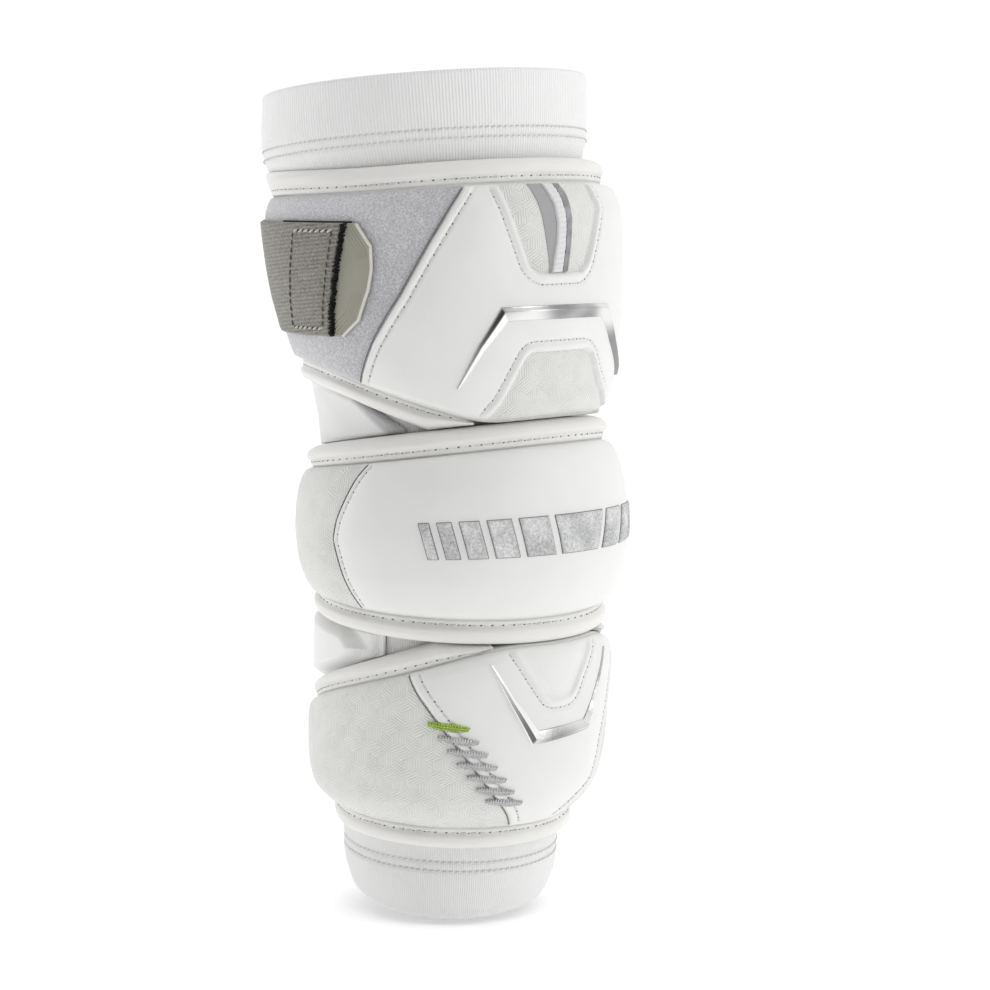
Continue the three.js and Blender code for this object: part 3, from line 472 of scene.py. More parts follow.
CHROME = chrome("bright_trim")
RUBBER = rubber("grey_rubber", (163, 161, 148))
RIM = rubber("cream_rubber", (222, 220, 210))
SILVER = satin("silver_thread", (246, 246, 246), (146, 147, 149))
# painted highlight: the tacks are paler towards their upper ends
TACK = embroidery("grey_thread", (254, 254, 254), (140, 140, 142), 0.7, -0.3, far_end_highlight=0.2)
LIME = embroidery("lime_thread", (206, 234, 96), (98, 130, 18), 0.9, -0.3, far_end_highlight=0.15)
THREAD = embroidery("seam_thread", (240, 240, 238), (190, 190, 188), 0.5)
HOLE = rubber("needle_hole", (112, 112, 112))
STRAP_THREAD = embroidery("strap_thread", (236, 234, 226), (170, 167, 160), 0.5)
DARK_THREAD = embroidery("dark_thread", (112, 104, 98), (52, 47, 44), 0.5)
DARK_HOLE = rubber("dark_hole", (44, 41, 39))
# painted shadow: dark strips along the laps and under the elbow bars
SHADOW_STRIP = rubber("seam_shadow", (118, 118, 119))
# painted shade: the grey sheet in the vent's crescent
HOLLOW_SHADE = rubber("vent_hollow_shade", (172, 172, 174))
print(len(bpy.data.materials), "materials")

# %% [markdown]
# ## From grids to closed pieces
# Each piece is two grids of points, its outside and its inside, joined round their rim. That
# gives real thickness, and the unrolled position goes with each point for the weave to follow.


# %% Mesh building
def finish_piece(name, points, faces, flat, material, replaced=(), girth=0):
    """girth is the length round a closed tube, so that its weave runs on over the join."""
    mesh = bpy.data.meshes.new(name)
    mesh.from_pydata(points.tolist(), [], faces.tolist() if hasattr(faces, "tolist") else faces)
    layer = mesh.uv_layers.new(name="flat")
    corner = np.empty(len(mesh.loops), np.int32)
    mesh.loops.foreach_get("vertex_index", corner)
    places = flat[corner].astype(np.float32)
    if girth:
        quads = places.reshape(-1, 4, 2)
        behind = quads[..., :1].max(1, keepdims=True) - quads[..., :1] > girth / 2
        quads += behind * np.float32([girth, 0])
    layer.uv.foreach_set("vector", places.ravel())
    mesh.shade_smooth()
    mesh.materials.append(material)
    piece = bpy.data.objects.new(name, mesh)
    bpy.context.collection.objects.link(piece)
    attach(piece, "root")
    if replaced:
        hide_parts(*replaced)
    return piece


def shell(name, outside, inside, flat, material, slot, replaced=(), closed=False, girth=0):
    """Joins an outside and an inside grid into one piece, faces outwards. closed joins its two ends."""
    m, n = outside.shape[:2]
    points = np.concatenate([outside.reshape(-1, 3), inside.reshape(-1, 3)])
    rows = np.arange(m if closed else m - 1)
    i, j = np.meshgrid(rows, np.arange(n - 1), indexing="ij")
    a, b = i * n + j, ((i + 1) % m) * n + j
    top = np.stack([a, b, b + 1, a + 1], -1).reshape(-1, 4)
    faces = [top, top[:, ::-1] + m * n]
    rims = [(rows * n + k, (rows + 1) % m * n + k, k == 0) for k in (0, n - 1)]
    if not closed:
        rims += [(k * n + np.arange(n - 1), k * n + np.arange(1, n), k != 0) for k in (0, m - 1)]
    for start, end, turn in rims:
        rim = np.stack([start, end, end + m * n, start + m * n], -1)
        faces.append(rim[:, ::-1] if turn else rim)
    faces = np.concatenate(faces)
    a, b, c, d = (points[faces[:, k]] for k in range(4))
    if np.sum(a * (np.cross(b, c) + np.cross(c, d))) < 0:
        faces = faces[:, ::-1]
    uv = np.concatenate([flat.reshape(-1, 2)] * 2)
    return finish_piece(name, points, faces, uv, material, replaced, girth)


def seated(name, at, z, r, flat_radius, material, slot, node):
    """A closed piece between a surface round the arm and the sleeve under it."""
    at, z, r = np.broadcast_arrays(at, z, r)
    outer, inner = (on_arm(at, z, level) for level in (r, sleeve_surface(at, z, SEAT_GAP)))
    return shell(name, outer, inner, np.stack([np.radians(at) * flat_radius, z], -1), material, slot, [node])


def ease(count, bunch=0.35):
    """Steps from 0 to 1 that bunch up at both ends, where a piece rounds off."""
    t = np.linspace(0, 1, count)
    return (1 - bunch) * t + bunch * smooth(t)


# %% [markdown]
# ## Distances on the unrolled pad
# Laps, windows and rows of stitches all follow outlines. On the unrolled pad an outline is a
# line of points in millimetres, so relief is a matter of how far a point lies from it.


# %% Outlines
def outline(pad, rows):
    """Points on the unrolled pad from rows of share of height and degrees."""
    up, at = np.transpose(rows)
    return np.stack(pad.to_flat(at, up), -1)


def distance(x, y, line):
    """From each point to the nearest part of a line."""
    best = np.full(x.shape, 1e9)
    for (x0, y0), (x1, y1) in zip(line[:-1], line[1:]):
        dx, dy = x1 - x0, y1 - y0
        t = np.clip(((x - x0) * dx + (y - y0) * dy) / (dx * dx + dy * dy + 1e-12), 0, 1)
        best = np.minimum(best, np.hypot(x - x0 - t * dx, y - y0 - t * dy))
    return best


def inside(x, y, ring):
    """Whether each point lies inside a closed outline."""
    found = np.zeros(x.shape, bool)
    for (x0, y0), (x1, y1) in zip(ring, np.roll(ring, -1, 0)):
        crosses = (y0 > y) != (y1 > y)
        found ^= crosses & (x < (x1 - x0) * (y - y0) / (y1 - y0 + 1e-12) + x0)
    return found


def beside(line, by):
    """A line moved sideways: to its left if by is above 0."""
    step = np.gradient(line, axis=0)
    step /= np.linalg.norm(step, axis=1, keepdims=True)
    return line + by * np.stack([-step[:, 1], step[:, 0]], -1)


def rounded(line, pitch=1.0, radius=4.0):
    """A line walked in even steps, its corners softened."""
    lengths = np.r_[0, np.cumsum(np.linalg.norm(np.diff(line, axis=0), axis=1))]
    s = np.linspace(0, lengths[-1], max(3, int(lengths[-1] / pitch)))
    even = np.stack([np.interp(s, lengths, line[:, k]) for k in (0, 1)], -1)
    width = max(1, int(radius / pitch))
    padded = np.pad(even, ((width, width), (0, 0)), mode="reflect", reflect_type="odd")
    kernel = np.hanning(2 * width + 1) + 1e-6
    kernel /= kernel.sum()
    return np.stack([np.convolve(padded[:, k], kernel, "valid") for k in (0, 1)], -1)


def edge_round(d, width):
    """0 at an edge, 1 past the width, round between."""
    return np.sqrt(np.clip(1 - (1 - np.clip(d / width, 0, 1)) ** 2, 0, 1))


def groove(d, width):
    return np.exp(-(d / width) ** 2)


UPPER_LAP_LEFT = [(0, -78.6), (.022, -77.6), (.253, -69.6), (.506, -58), (.753, -47.4), (.896, -40.6),
                  (1, -34.9)]
UPPER_LAP_RIGHT = [(0, 86), (.5, 74), (1, 62)]
VENT_LEFT = [(.603, -12.5), (.64, -16.4), (.773, -19.6), (1.0, -24.8)]
VENT_RIGHT = [(.603, 4), (.64, 7.6), (.722, 10.6), (.887, 15.9), (.925, 14.4), (1.0, 13.4)]
KNEE_LEFT = [(0, -32.5), (.075, -26.8), (.16, -22.8), (.262, -18), (.282, -16.4)]
KNEE_RIGHT = [(0, 35), (.075, 27.6), (.16, 18.6), (.262, 12.2), (.282, 8.6)]
ELBOW_SEAM = [(0, 82.8), (.137, 86), (.301, 88.6), (.49, 91), (.625, 89.3), (.764, 85.6), (.895, 81.8),
              (1, 77.2)]
FOREARM_SEAM_LEFT = [(0, -16.6), (.11, -22.1), (.226, -29.2), (.428, -39.3), (.676, -50.7), (.863, -58.4),
                     (1, -62.8)]
FOREARM_SEAM_RIGHT = [(0, 7), (.104, 15.3), (.194, 25), (.307, 26.4), (.408, 27), (.70, 34), (1, 44)]
CREST_LEFT = [(.718, -8), (.727, -9), (.80, -12.8), (.968, -20.8), (1, -22.4)]
CREST_RIGHT = [(.718, 0), (.727, 1.6), (.764, 3.4), (.839, 6.5), (.949, 12.8), (1, 15.6)]


def window(pad, left, right, open_top):
    """A window's rim as one line from end to end, run past the edge that it opens through."""
    rim = np.concatenate([outline(pad, left[::-1] if open_top else left),
                          outline(pad, right if open_top else right[::-1])])
    sign = 6.0 if open_top else -6.0
    first, last = rim[0] + (0, sign), rim[-1] + (0, sign)
    return rounded(np.vstack([first, rim, last]), 1.0, 3.0)


VENT = window(upper, VENT_LEFT, VENT_RIGHT, True)
KNEE = window(upper, KNEE_LEFT, KNEE_RIGHT, False)
CREST = window(forearm, CREST_LEFT, CREST_RIGHT, True)
LAP_LEFT, LAP_RIGHT = (rounded(outline(upper, rows)) for rows in (UPPER_LAP_LEFT, UPPER_LAP_RIGHT))
ELBOW_RIGHT = rounded(outline(elbow, ELBOW_SEAM))
ELBOW_LEFT = ELBOW_RIGHT * (-1, 1)
SEAM_LEFT, SEAM_RIGHT = (rounded(outline(forearm, rows)) for rows in (FOREARM_SEAM_LEFT, FOREARM_SEAM_RIGHT))
print("vent window", round(float(np.ptp(VENT[:, 0])), 1), "mm wide")

# %% [markdown]
# ## Relief of the covers
# A cover is stuffed from behind, so it dips to each seam and swells between them. A lap is folded
# under, which makes a flat band as wide as the fold, and its stitches pull a groove beside it.

# %% Relief functions
FOLD, STITCH, ELBOW_STITCH = 3.4, 3.9, 2.2
COVER_THICK = 1.4
COVER_TOP = LAYER_GAP + COVER_THICK


def lap_relief(d, fold=FOLD):
    """Height over the skin beside a folded edge, from the distance to it."""
    return (0.45 * smooth((fold - d) / 1.0) - 0.55 * groove(d - STITCH, 0.7)
            - 0.9 * groove(np.maximum(0, d - STITCH), 7.0) * (d > STITCH) - 0.9 * (d <= STITCH))


def window_relief(x, y, rim, fold=3.0, low=-1.5):
    """A window: its folded rim stands up and its inside lies under the skin."""
    d, within = distance(x, y, rim), inside(x, y, rim)
    outer = lap_relief(d, fold)
    return np.where(within, low, outer + 1.0 * (edge_round(d, 1.0) - 1))


def upper_relief(x, y):
    laps = np.minimum(distance(x, y, LAP_LEFT), distance(x, y, LAP_RIGHT))
    return lap_relief(laps) + window_relief(x, y, VENT, low=-3.2) + window_relief(x, y, KNEE, low=-3.2) + 1.6


def elbow_relief(x, y):
    seams = np.minimum(distance(x, y, ELBOW_LEFT), distance(x, y, ELBOW_RIGHT))
    return 0.7 - 0.9 * groove(seams, 6.0) - 0.5 * groove(seams - ELBOW_STITCH, 0.6)


def forearm_relief(x, y):
    seams = np.minimum(distance(x, y, SEAM_LEFT), distance(x, y, SEAM_RIGHT))
    return lap_relief(seams) * 0.7 + window_relief(x, y, CREST) + 0.9


upper.relief, elbow.relief, forearm.relief = upper_relief, elbow_relief, forearm_relief


# %% Panels on the pads
def panel(name, pad, left, right, thick, material, slot, replaced, low=0.01, high=0.99, lift=LAYER_GAP,
          relief=None, round_at=1.3, step=1.4):
    """A cover between two outlines on a pad. relief adds height from the unrolled position."""
    top, bottom = pad.to_flat(0.0, high)[1], pad.to_flat(0.0, low)[1]
    up = low + (high - low) * ease(int((top - bottom) / step) + 4)
    from_at, to_at = (np.interp(up, *np.transpose(rows)) for rows in (left, right))
    wide = np.radians((to_at - from_at).max()) * pad.flat_radius
    share = ease(int(wide / step) + 6)[:, None]
    at = from_at + share * (to_at - from_at)
    up = np.broadcast_to(up, at.shape)
    x, y = pad.to_flat(at, up)
    z, r = pad.surface(at, up)
    across = np.radians(to_at - from_at) * pad.flat_radius
    tall = pad.high(at) - pad.low(at)
    edge = np.minimum(np.minimum(share, 1 - share) * across, np.minimum(up - low, high - up) * tall)
    height = thick * (0.12 + 0.88 * edge_round(edge, round_at))
    if relief is not None:
        height = np.maximum(height + relief(x, y) * np.clip(edge / 1.5, 0, 1), 0.25)
    outer, inner = on_arm(at, z, r + lift + height), on_arm(at, z, r + lift)
    return shell(name, outer, inner, np.stack([x, y], -1), material, slot, replaced)


def upright(at):
    return [(0, at), (1, at)]


def moved(rows, by):
    return [(up, at + by) for up, at in rows]


def mirrored(rows):
    return [(up, -at) for up, at in rows]


# %% [markdown]
# ## Foam bodies
# Under the covers is moulded foam. It shows only at the pads' ends behind the arm, but it is
# modelled whole, so that no cover floats over a gap.


# %% Foam
def foam_body(name, pad, node):
    at = np.linspace(-pad.reach, pad.reach, 110)[:, None]
    piece = seated(name, at, *pad.surface(at, ease(34)[None, :]), pad.flat_radius, FOAM, "foam", node)
    return piece


for name, pad in PADS.items():
    made = foam_body(name + "_foam", pad, name + "_pad")
    print(made.name, len(made.data.polygons), "faces")

# %% [markdown]
# ## The sleeve
# A knitted tube with a deep folded hem at the top and a tilted hem at the wrist. It is pulled
# over the arm, so it is smooth where it is tight and creases a little beside the pads.

# %% Sleeve
at = np.linspace(-180, 180, 181)[:-1][:, None]
bands = [UPPER_LENGTH, UPPER_LENGTH - 3, 156, 146, -124, -133, 3 - LOWER_LENGTH, -LOWER_LENGTH]
rows = [5, 10, 17, 90, 15, 8, 5]
z = np.concatenate([np.linspace(high, low, n, endpoint=False)
                    for high, low, n in zip(bands, bands[1:], rows)] + [[-LOWER_LENGTH]])[None, :]
HEM_START, HEM_ROWS = -0.884 * LOWER_LENGTH, (152.2, 148.6, -126.6, -130.2)


def raised(at, z):
    """How far the tilted hem lifts a point of the sleeve."""
    share = smooth((HEM_START - z) / (HEM_START + LOWER_LENGTH))
    return HEM_TILT * (1 - np.cos(np.radians(at + 45))) * share


to_end = np.minimum(UPPER_LENGTH - z, z + LOWER_LENGTH)
hems = 0.35 * smooth((z - 149) / 3) + 0.3 * smooth((-128 - z) / 3)
hems = hems - sum(0.45 * groove(z - row, 0.7) for row in HEM_ROWS)
crease = 0.45 * np.sin(np.radians(at) * 3 + z / 11) * np.sin(np.radians(at) * 5 - z / 17 + 1)
crease = crease * (0.35 + 0.65 * smooth((60 - np.abs(z)) / 20))
band = 0.5 * smooth(1 - np.abs(z - 158) / 16)
outer_r = sleeve_surface(at, z, 0) + hems + crease + band - (1 - edge_round(to_end, 1.6))
inner_r = sleeve_surface(at, z, -2.0) + 0.9 * (1 - edge_round(to_end, 1.6))
RIB, RIBS = 1.1, 308
flat = np.stack(np.broadcast_arrays(at / 360 * RIB * RIBS, z), -1)
sleeve = shell("knit_sleeve", *(on_arm(at, z + raised(at, z), r) for r in (outer_r, inner_r)), flat, KNIT,
               "knit", ["sleeve"], closed=True, girth=RIB * RIBS)
round_mm = 2 * math.pi * float(np.mean(sleeve_radius(np.linspace(-LOWER_LENGTH, UPPER_LENGTH, 200))))
print("sleeve is", round(round_mm), "mm round on average")

# %% [markdown]
# ## Covers of the upper pad
# The front cover laps over the brushed loop cloth on the left and over the embossed cloth on the
# right. Two windows open through it, one at the vent and one over the elbow's hinge.

# %% Upper covers
panel("upper_front_cover", upper, UPPER_LAP_LEFT, UPPER_LAP_RIGHT, COVER_THICK, COVER, "cover",
      ["upper_front_panel"], relief=upper_relief, step=0.8)
panel("vent_inlay", upper, moved(VENT_LEFT, -1.0), moved(VENT_RIGHT, 1.0), 1.5, EMBOSSED, "embossed",
      ["vent_panel"], low=0.592, lift=0.6, relief=lambda x, y: -0.8 * groove(distance(x, y, VENT), 3.0))
panel("knee_inlay", upper, moved(KNEE_LEFT, -1.0), moved(KNEE_RIGHT, 1.0), 1.5, EMBOSSED, "embossed",
      ["upper_insert"], high=0.29, lift=0.6, relief=lambda x, y: -0.8 * groove(distance(x, y, KNEE), 3.0))
panel("loop_cloth_field", upper, upright(-141), moved(UPPER_LAP_LEFT, 0.6), 1.1, LOOP, "loop", ["loop_field"],
      lift=0.3)
panel("upper_side_cover", upper, moved(UPPER_LAP_RIGHT, -0.6), upright(141), 1.1, EMBOSSED, "embossed",
      ["upper_side_panel"], lift=0.3)
print("upper pad covered")

# %% [markdown]
# ## Covers of the elbow and forearm pads
# The elbow has one wide cover between two side pieces. The forearm's cover narrows downwards and
# its left seam is bridged by a row of bar tacks.

# %% Elbow and forearm covers
panel("elbow_front_cover", elbow, mirrored(ELBOW_SEAM), ELBOW_SEAM, COVER_THICK, COVER, "cover",
      ["elbow_front_panel"], relief=elbow_relief, step=0.95)
for side, word in ((-1, "left"), (1, "right")):
    seam = mirrored(ELBOW_SEAM) if side < 0 else ELBOW_SEAM
    edges = (upright(-136), moved(seam, 0.4)) if side < 0 else (moved(seam, -0.4), upright(136))
    panel(f"elbow_side_cover_{word}", elbow, *edges, 1.3, EMBOSSED, "embossed", [f"elbow_side_panel_{word}"],
          relief=lambda x, y: 0.5 - 1.1 * groove(distance(np.abs(x), y, ELBOW_RIGHT), 5.0))
panel("forearm_front_cover", forearm, FOREARM_SEAM_LEFT, FOREARM_SEAM_RIGHT, COVER_THICK, COVER, "cover",
      ["forearm_front_panel"], relief=forearm_relief, step=0.74)
panel("crest_inlay", forearm, moved(CREST_LEFT, -1.2), moved(CREST_RIGHT, 1.2), 1.5, COVER, "cover",
      ["forearm_insert"], low=0.705, lift=0.1, relief=lambda x, y: -0.8 * groove(distance(x, y, CREST), 3.0))
panel("forearm_side_cover_left", forearm, upright(-139), moved(FOREARM_SEAM_LEFT, 0.6), 1.1, EMBOSSED,
      "embossed", ["forearm_side_panel_left"], lift=0.3)
panel("forearm_side_cover_right", forearm, moved(FOREARM_SEAM_RIGHT, -0.6), upright(139), 1.1, EMBOSSED,
      "embossed", ["forearm_side_panel_right"], lift=0.3)
print("elbow and forearm covered")

# %% [markdown]
# ## Bindings
# Every pad's long edges are bound with a soft tape, rolled over and sewn down along the seam.
# The stitches pull small dimples into the tape, which a wave along the seam gives.

# %% Bindings
STITCH_PITCH, FLANGE = 4.5, 0.25
ROLL = np.array([(0, .74), (.05, .84), (.18, .90), (.28, .91), (.48, 1.05), (.68, 1.0), (.84, .84),
                 (.95, .6), (1, .36)])
FULL_ROLL = np.array([(0, .74), (.05, .84), (.18, .9), (.28, .91), (.48, 1.06), (.68, 1.05), (.84, .98),
                      (.95, .87), (1, .72)])
UNDER_COVER = 0.8
bindings = {}


def binding(name, pad, thick, first, last, seam, edge, roll=ROLL):
    """A rolled tape from its sewn seam to the pad's edge. It starts a little under the cover."""
    count = int(abs(last - first) * 1.1)
    at = np.linspace(min(first, last), max(first, last), count)[:, None]
    across = ease(19, 0.3)[None, :]
    way = np.sign(edge(90.0) - seam(90.0))
    near, far = seam(at) - way * UNDER_COVER, edge(at)
    far = near + way * np.maximum(0.3, (far - near) * way)
    z = near + across * (far - near)
    base = sleeve_radius((near + far) / 2)
    out = curve(roll[:, 0], roll[:, 1], across)
    x = np.radians(at) * pad.flat_radius
    pull = groove(across - FLANGE, 0.07) * (0.45 + 0.25 * np.cos(2 * math.pi * x / STITCH_PITCH))
    sway = 0.25 * np.sin(x / 9.0) * np.sin(x / 23.0 + 1) * np.sin(math.pi * across)
    r = np.maximum(base + thick * out * pad.thinning(at) - pull + sway,
                   sleeve_surface(at, z, SEAT_GAP) + MIN_FOAM * out)
    bindings[name] = (at, z, r, across)
    return seated(name, at, z, r, pad.flat_radius, TAPE, "binding", name.replace("roll", "binding"))


binding("upper_top_roll", upper, 7.0, -150, 150, lambda a: upper_top(a) - BIND, upper_top)
binding("elbow_top_roll", elbow, 10.5, -145, 145, lambda a: elbow_top(a) - BIND, elbow_top)
binding("elbow_bottom_roll", elbow, 9.6, -145, 145, lambda a: elbow_bottom(a) + BIND, elbow_bottom, FULL_ROLL)
binding("forearm_bottom_roll", forearm, 4.4, -148, 148, lambda a: forearm_bottom(a) + FOREARM_BIND,
        forearm_bottom)
MEET_UPPER, MEET_FOREARM = (ELBOW_HIGH - UPPER_LOW - BIND) / UPPER_RISE + 8, 31.0
for side, word in ((-1, "left"), (1, "right")):
    binding(f"upper_bottom_roll_{word}", upper, 8.0, side * 150, side * MEET_UPPER,
            lambda a: upper_bottom(a) + BIND, lambda a: np.maximum(upper_bottom(a), elbow_top(a) + PIECE_GAP))
    binding(f"forearm_top_roll_{word}", forearm, 9.8, side * 148, side * MEET_FOREARM,
            lambda a: forearm_top(a) - FOREARM_BIND,
            lambda a: np.minimum(forearm_top(a), elbow_bottom(a) - PIECE_GAP))
print(len(bindings), "bindings")

# %% [markdown]
# ## Stitches
# Lines of thread give the pad its scale. Each stitch is a small rounded bar, laid at a slight
# slant with its ends sunk into the cloth, and a short dark bar between two stitches is a needle
# hole. They could be painted by a shader, but real bars catch the light and stay sharp close up.

# %% Stitches
ring = np.linspace(0, 2 * math.pi, 6, endpoint=False)
BAR = np.concatenate([np.stack([np.full(6, s), k * np.cos(ring), k * np.sin(ring)], -1)
                      for s, k in ((-0.5, 0.35), (-0.36, 0.9), (0.0, 1.05), (0.36, 0.9), (0.5, 0.35))])
HOLE_LENGTH = 1.25
BAR_FACES = [(i * 6 + j, i * 6 + (j + 1) % 6, (i + 1) * 6 + (j + 1) % 6, (i + 1) * 6 + j)
             for i in range(4) for j in range(6)] + [tuple(range(5, -1, -1)), tuple(range(24, 30))]


def bar_piece(name, bars, flats, material, replaced=()):
    faces = [tuple(len(BAR) * i + v for v in face) for i in range(len(bars)) for face in BAR_FACES]
    return finish_piece(name, np.concatenate(bars), faces, np.concatenate(flats), material, replaced)


def sew(name, runs, material, slot, pitch=STITCH_PITCH, length=3.3, thick=0.36, slant=0.12, sink=0.06,
        hole=None):
    """Rows of stitches. A run is a line of points and a line of points straight above them."""
    if hole:
        sew(name + "_holes", runs, hole, slot, pitch, HOLE_LENGTH, 0.33, 0.35, 0.0)
    bars, flats = [], []
    for path, above in runs:
        s = np.r_[0, np.cumsum(np.linalg.norm(np.diff(path, axis=0), axis=1))] * 1000
        first = pitch if length == HOLE_LENGTH else pitch / 2
        for k, middle in enumerate(np.arange(first, s[-1] - min(1, pitch / 4), pitch)):
            ends = [np.array([np.interp(q, s, path[:, i]) for i in range(3)])
                    for q in (middle - length / 2, middle + length / 2)]
            over = np.array([np.interp(middle, s, above[:, i]) for i in range(3)])
            centre = (ends[0] + ends[1]) / 2
            along = ends[1] - ends[0]
            size = np.linalg.norm(along)
            along = along / size
            normal = over - centre
            normal -= along * normal.dot(along)
            normal /= np.linalg.norm(normal)
            side = np.cross(normal, along)
            turned = along + side * slant * (1 + 0.3 * math.sin(k * 2.4))
            turned /= np.linalg.norm(turned)
            side = np.cross(normal, turned)
            low = BAR[:, :1] ** 2 * 4 * thick * 0.9
            bars.append(centre + BAR[:, :1] * turned * size + BAR[:, 1:2] * side * thick / 1000
                        + (BAR[:, 2:] * thick - low + sink) * normal / 1000)
            flats.append(np.stack([BAR[:, 0] * length, BAR[:, 1]], -1) + (middle, 0))
    return bar_piece(name, bars, flats, material)


def run_on_pad(pad, line, lift=0.0):
    """A run of stitches along a line of the unrolled pad."""
    line = line[(line[:, 1] > -130) & (line[:, 1] < 145)]
    at, up = pad.from_flat(line[:, 0], line[:, 1])
    line = line[(up > 0.012) & (up < 0.988)]
    level = COVER_TOP + np.maximum(pad.relief(line[:, 0], line[:, 1]), -1.15) + lift
    return pad.point(line[:, 0], line[:, 1], level), pad.point(line[:, 0], line[:, 1], level + 1)


def run_on_binding(name):
    at, z, r, across = bindings[name]
    k = int(np.argmin(np.abs(across[0] - FLANGE)))
    keep = (np.abs(at[:, 0]) < 150) & (np.abs(z[:, -1] - z[:, 0]) > 4)
    return [on_arm(at[keep, 0], z[keep, k], r[keep, k] + over) for over in (0, 1)]


SEWN = {"upper": [(LAP_LEFT, -STITCH), (LAP_RIGHT, STITCH), (VENT, -STITCH), (KNEE, STITCH)],
        "elbow": [(ELBOW_LEFT, -ELBOW_STITCH), (ELBOW_RIGHT, ELBOW_STITCH)],
        "forearm": [(SEAM_LEFT, -STITCH), (SEAM_RIGHT, STITCH), (CREST, -STITCH)]}
for name, lines in SEWN.items():
    sew(name + "_stitches", [run_on_pad(PADS[name], beside(line, by)) for line, by in lines], THREAD,
        "binding", hole=HOLE)
# painted shadow: thin dark strips along three laps
shadows = ((forearm, SEAM_LEFT, 0.3, -1.0), (upper, LAP_LEFT, 0.3, -1.1), (elbow, ELBOW_LEFT, 0.1, -0.25))
sew("lap_shadows", [run_on_pad(pad, beside(line, by), lift) for pad, line, by, lift in shadows], SHADOW_STRIP,
    "binding", pitch=2.0, length=2.6, thick=0.24, slant=0)
sewn = sew("binding_stitches", [run_on_binding(name) for name in bindings], THREAD, "binding", hole=HOLE)
print(len(sewn.data.polygons) // len(BAR_FACES), "stitches in the bindings")

# %% Hem stitches
turn = np.linspace(-180, 180, 361)
hem_runs = []
for level in HEM_ROWS:
    height = np.full(361, level)
    r = sleeve_surface(turn, height, 0) + 0.1 + (0.45 if level > 0 else 0.1)
    hem_runs.append([on_arm(turn, height + raised(turn, height), r + over) for over in (0, 1)])
sew("hem_stitches", hem_runs, THREAD, "knit", pitch=2.6, length=1.9, thick=0.22, slant=0.25)

# %% [markdown]
# ## Bright trims
# Two chevrons, one on the upper pad and one on the forearm. Each is a moulded bar with a sharp
# ridge between a broad face and a narrow one, and it tapers to a point at its ends.

# %% Trims
UPPER_TRIM = [(-42.4, .124, -41.2, .129), (-34.6, .320, -32.7, .296), (-26.9, .478, -24.8, .418),
              (-4.0, .474, -4.4, .415), (18.8, .471, 15.6, .414), (27.6, .315, 24.0, .303),
              (42.0, .133, 40.0, .138)]
FOREARM_TRIM = [(-32.9, .939, -31.7, .936), (-24.9, .707, -22.9, .735), (-16.3, .484, -13.3, .559),
                (-3.0, .503, -2.6, .571), (11.4, .521, 8.2, .580), (14.2, .662, 12.6, .668),
                (24.8, .930, 24.0, .932)]
RIDGE = np.array([(0, 0), (.03, .35), (.10, .55), (.33, 1.5), (.37, 1.55), (.41, 1.5), (.90, .55), (.97, .35),
                  (1, 0)])


def trim(name, pad, pairs, node):
    """The pairs are the outer and the inner edge. Steps bunch at the corners to keep them crisp."""
    pairs = np.array(pairs)
    steps = np.array([0, .02, .05, .15, .3, .5, .7, .85, .95, .98])
    s = np.concatenate([i + steps for i in range(len(pairs) - 1)] + [[len(pairs) - 1]])
    rows = np.stack([np.interp(s, np.arange(len(pairs)), pairs[:, k]) for k in range(4)], -1)
    share = np.concatenate([np.linspace(a, b, 4, endpoint=False)
                            for a, b in zip(RIDGE[:-1, 0], RIDGE[1:, 0])] + [[1]])[None, :]
    at = rows[:, :1] + share * (rows[:, 2:3] - rows[:, :1])
    up = rows[:, 1:2] + share * (rows[:, 3:] - rows[:, 1:2])
    x, y = pad.to_flat(at, up)
    level = COVER_TOP + np.clip(pad.relief(x, y), 0, 2)
    width = np.hypot(x[:, -1] - x[:, 0], y[:, -1] - y[:, 0])[:, None]
    ridge = np.interp(share, RIDGE[:, 0], RIDGE[:, 1]) * np.clip(width / 3.2, 0.35, 1)
    outer, inner = pad.point(x, y, level + ridge), pad.point(x, y, level - 0.6)
    place = np.stack([share * 10 + 0 * x, s[:, None] * 10 + 0 * x], -1)
    piece = shell(name, outer, inner, place, CHROME, "chrome", [node])
    piece.data.shade_flat()
    return piece


trim("upper_chevron", upper, UPPER_TRIM, "upper_chrome_trim")
trim("forearm_chevron", forearm, FOREARM_TRIM, "forearm_chrome_trim")

# %% [markdown]
# ## Vent strips
# Inside the vent a ribbed white tape runs beside a strip of grey mesh, and the cloth on their
# left is pulled open into a crescent, whose shade is painted on a thin grey sheet.

# %% Vent strips
BAND_LEFT = [(.607, -8.2), (.657, -7.6), (.737, -6.2), (.817, -5.5), (.904, -6.3), (.985, -8.8)]
RIB_PITCH = 1.9
MESH_LEFT = [(.607, -4.4), (.72, -2.7), (.83, -1.9), (.93, -3.0), (.985, -4.6)]
MESH_RIGHT = [(.607, -1.9), (.72, -.1), (.83, .9), (.93, .3), (.985, -1.4)]
SLIT_LEFT = [(.607, -8.6), (.68, -9.4), (.76, -10.2), (.84, -11.0), (.92, -12.4), (.985, -14.2)]


# the first strip is a thin grey sheet of painted shade for the crescent
for name, left, right, thick, material, slot, node, lift, more in (
        ("vent_slit", SLIT_LEFT, moved(BAND_LEFT, 0.2), 0.15, HOLLOW_SHADE, "mesh", [], 2.15, {}),
        ("vent_tape", BAND_LEFT, moved(MESH_LEFT, 0.1), 1.3, RIBBED, "cover", ["vent_band"], 2.0,
         {"relief": lambda x, y: 0.25 * np.cos(y * 2 * math.pi / RIB_PITCH), "step": 0.35, "round_at": 0.9}),
        ("vent_mesh_strip", MESH_LEFT, MESH_RIGHT, 0.8, VENT_MESH, "mesh", ["vent_mesh"], 2.1,
         {"round_at": 0.5, "step": 0.5})):
    panel(name, upper, left, right, thick, material, slot, node, low=.61, high=.985, lift=lift, **more)
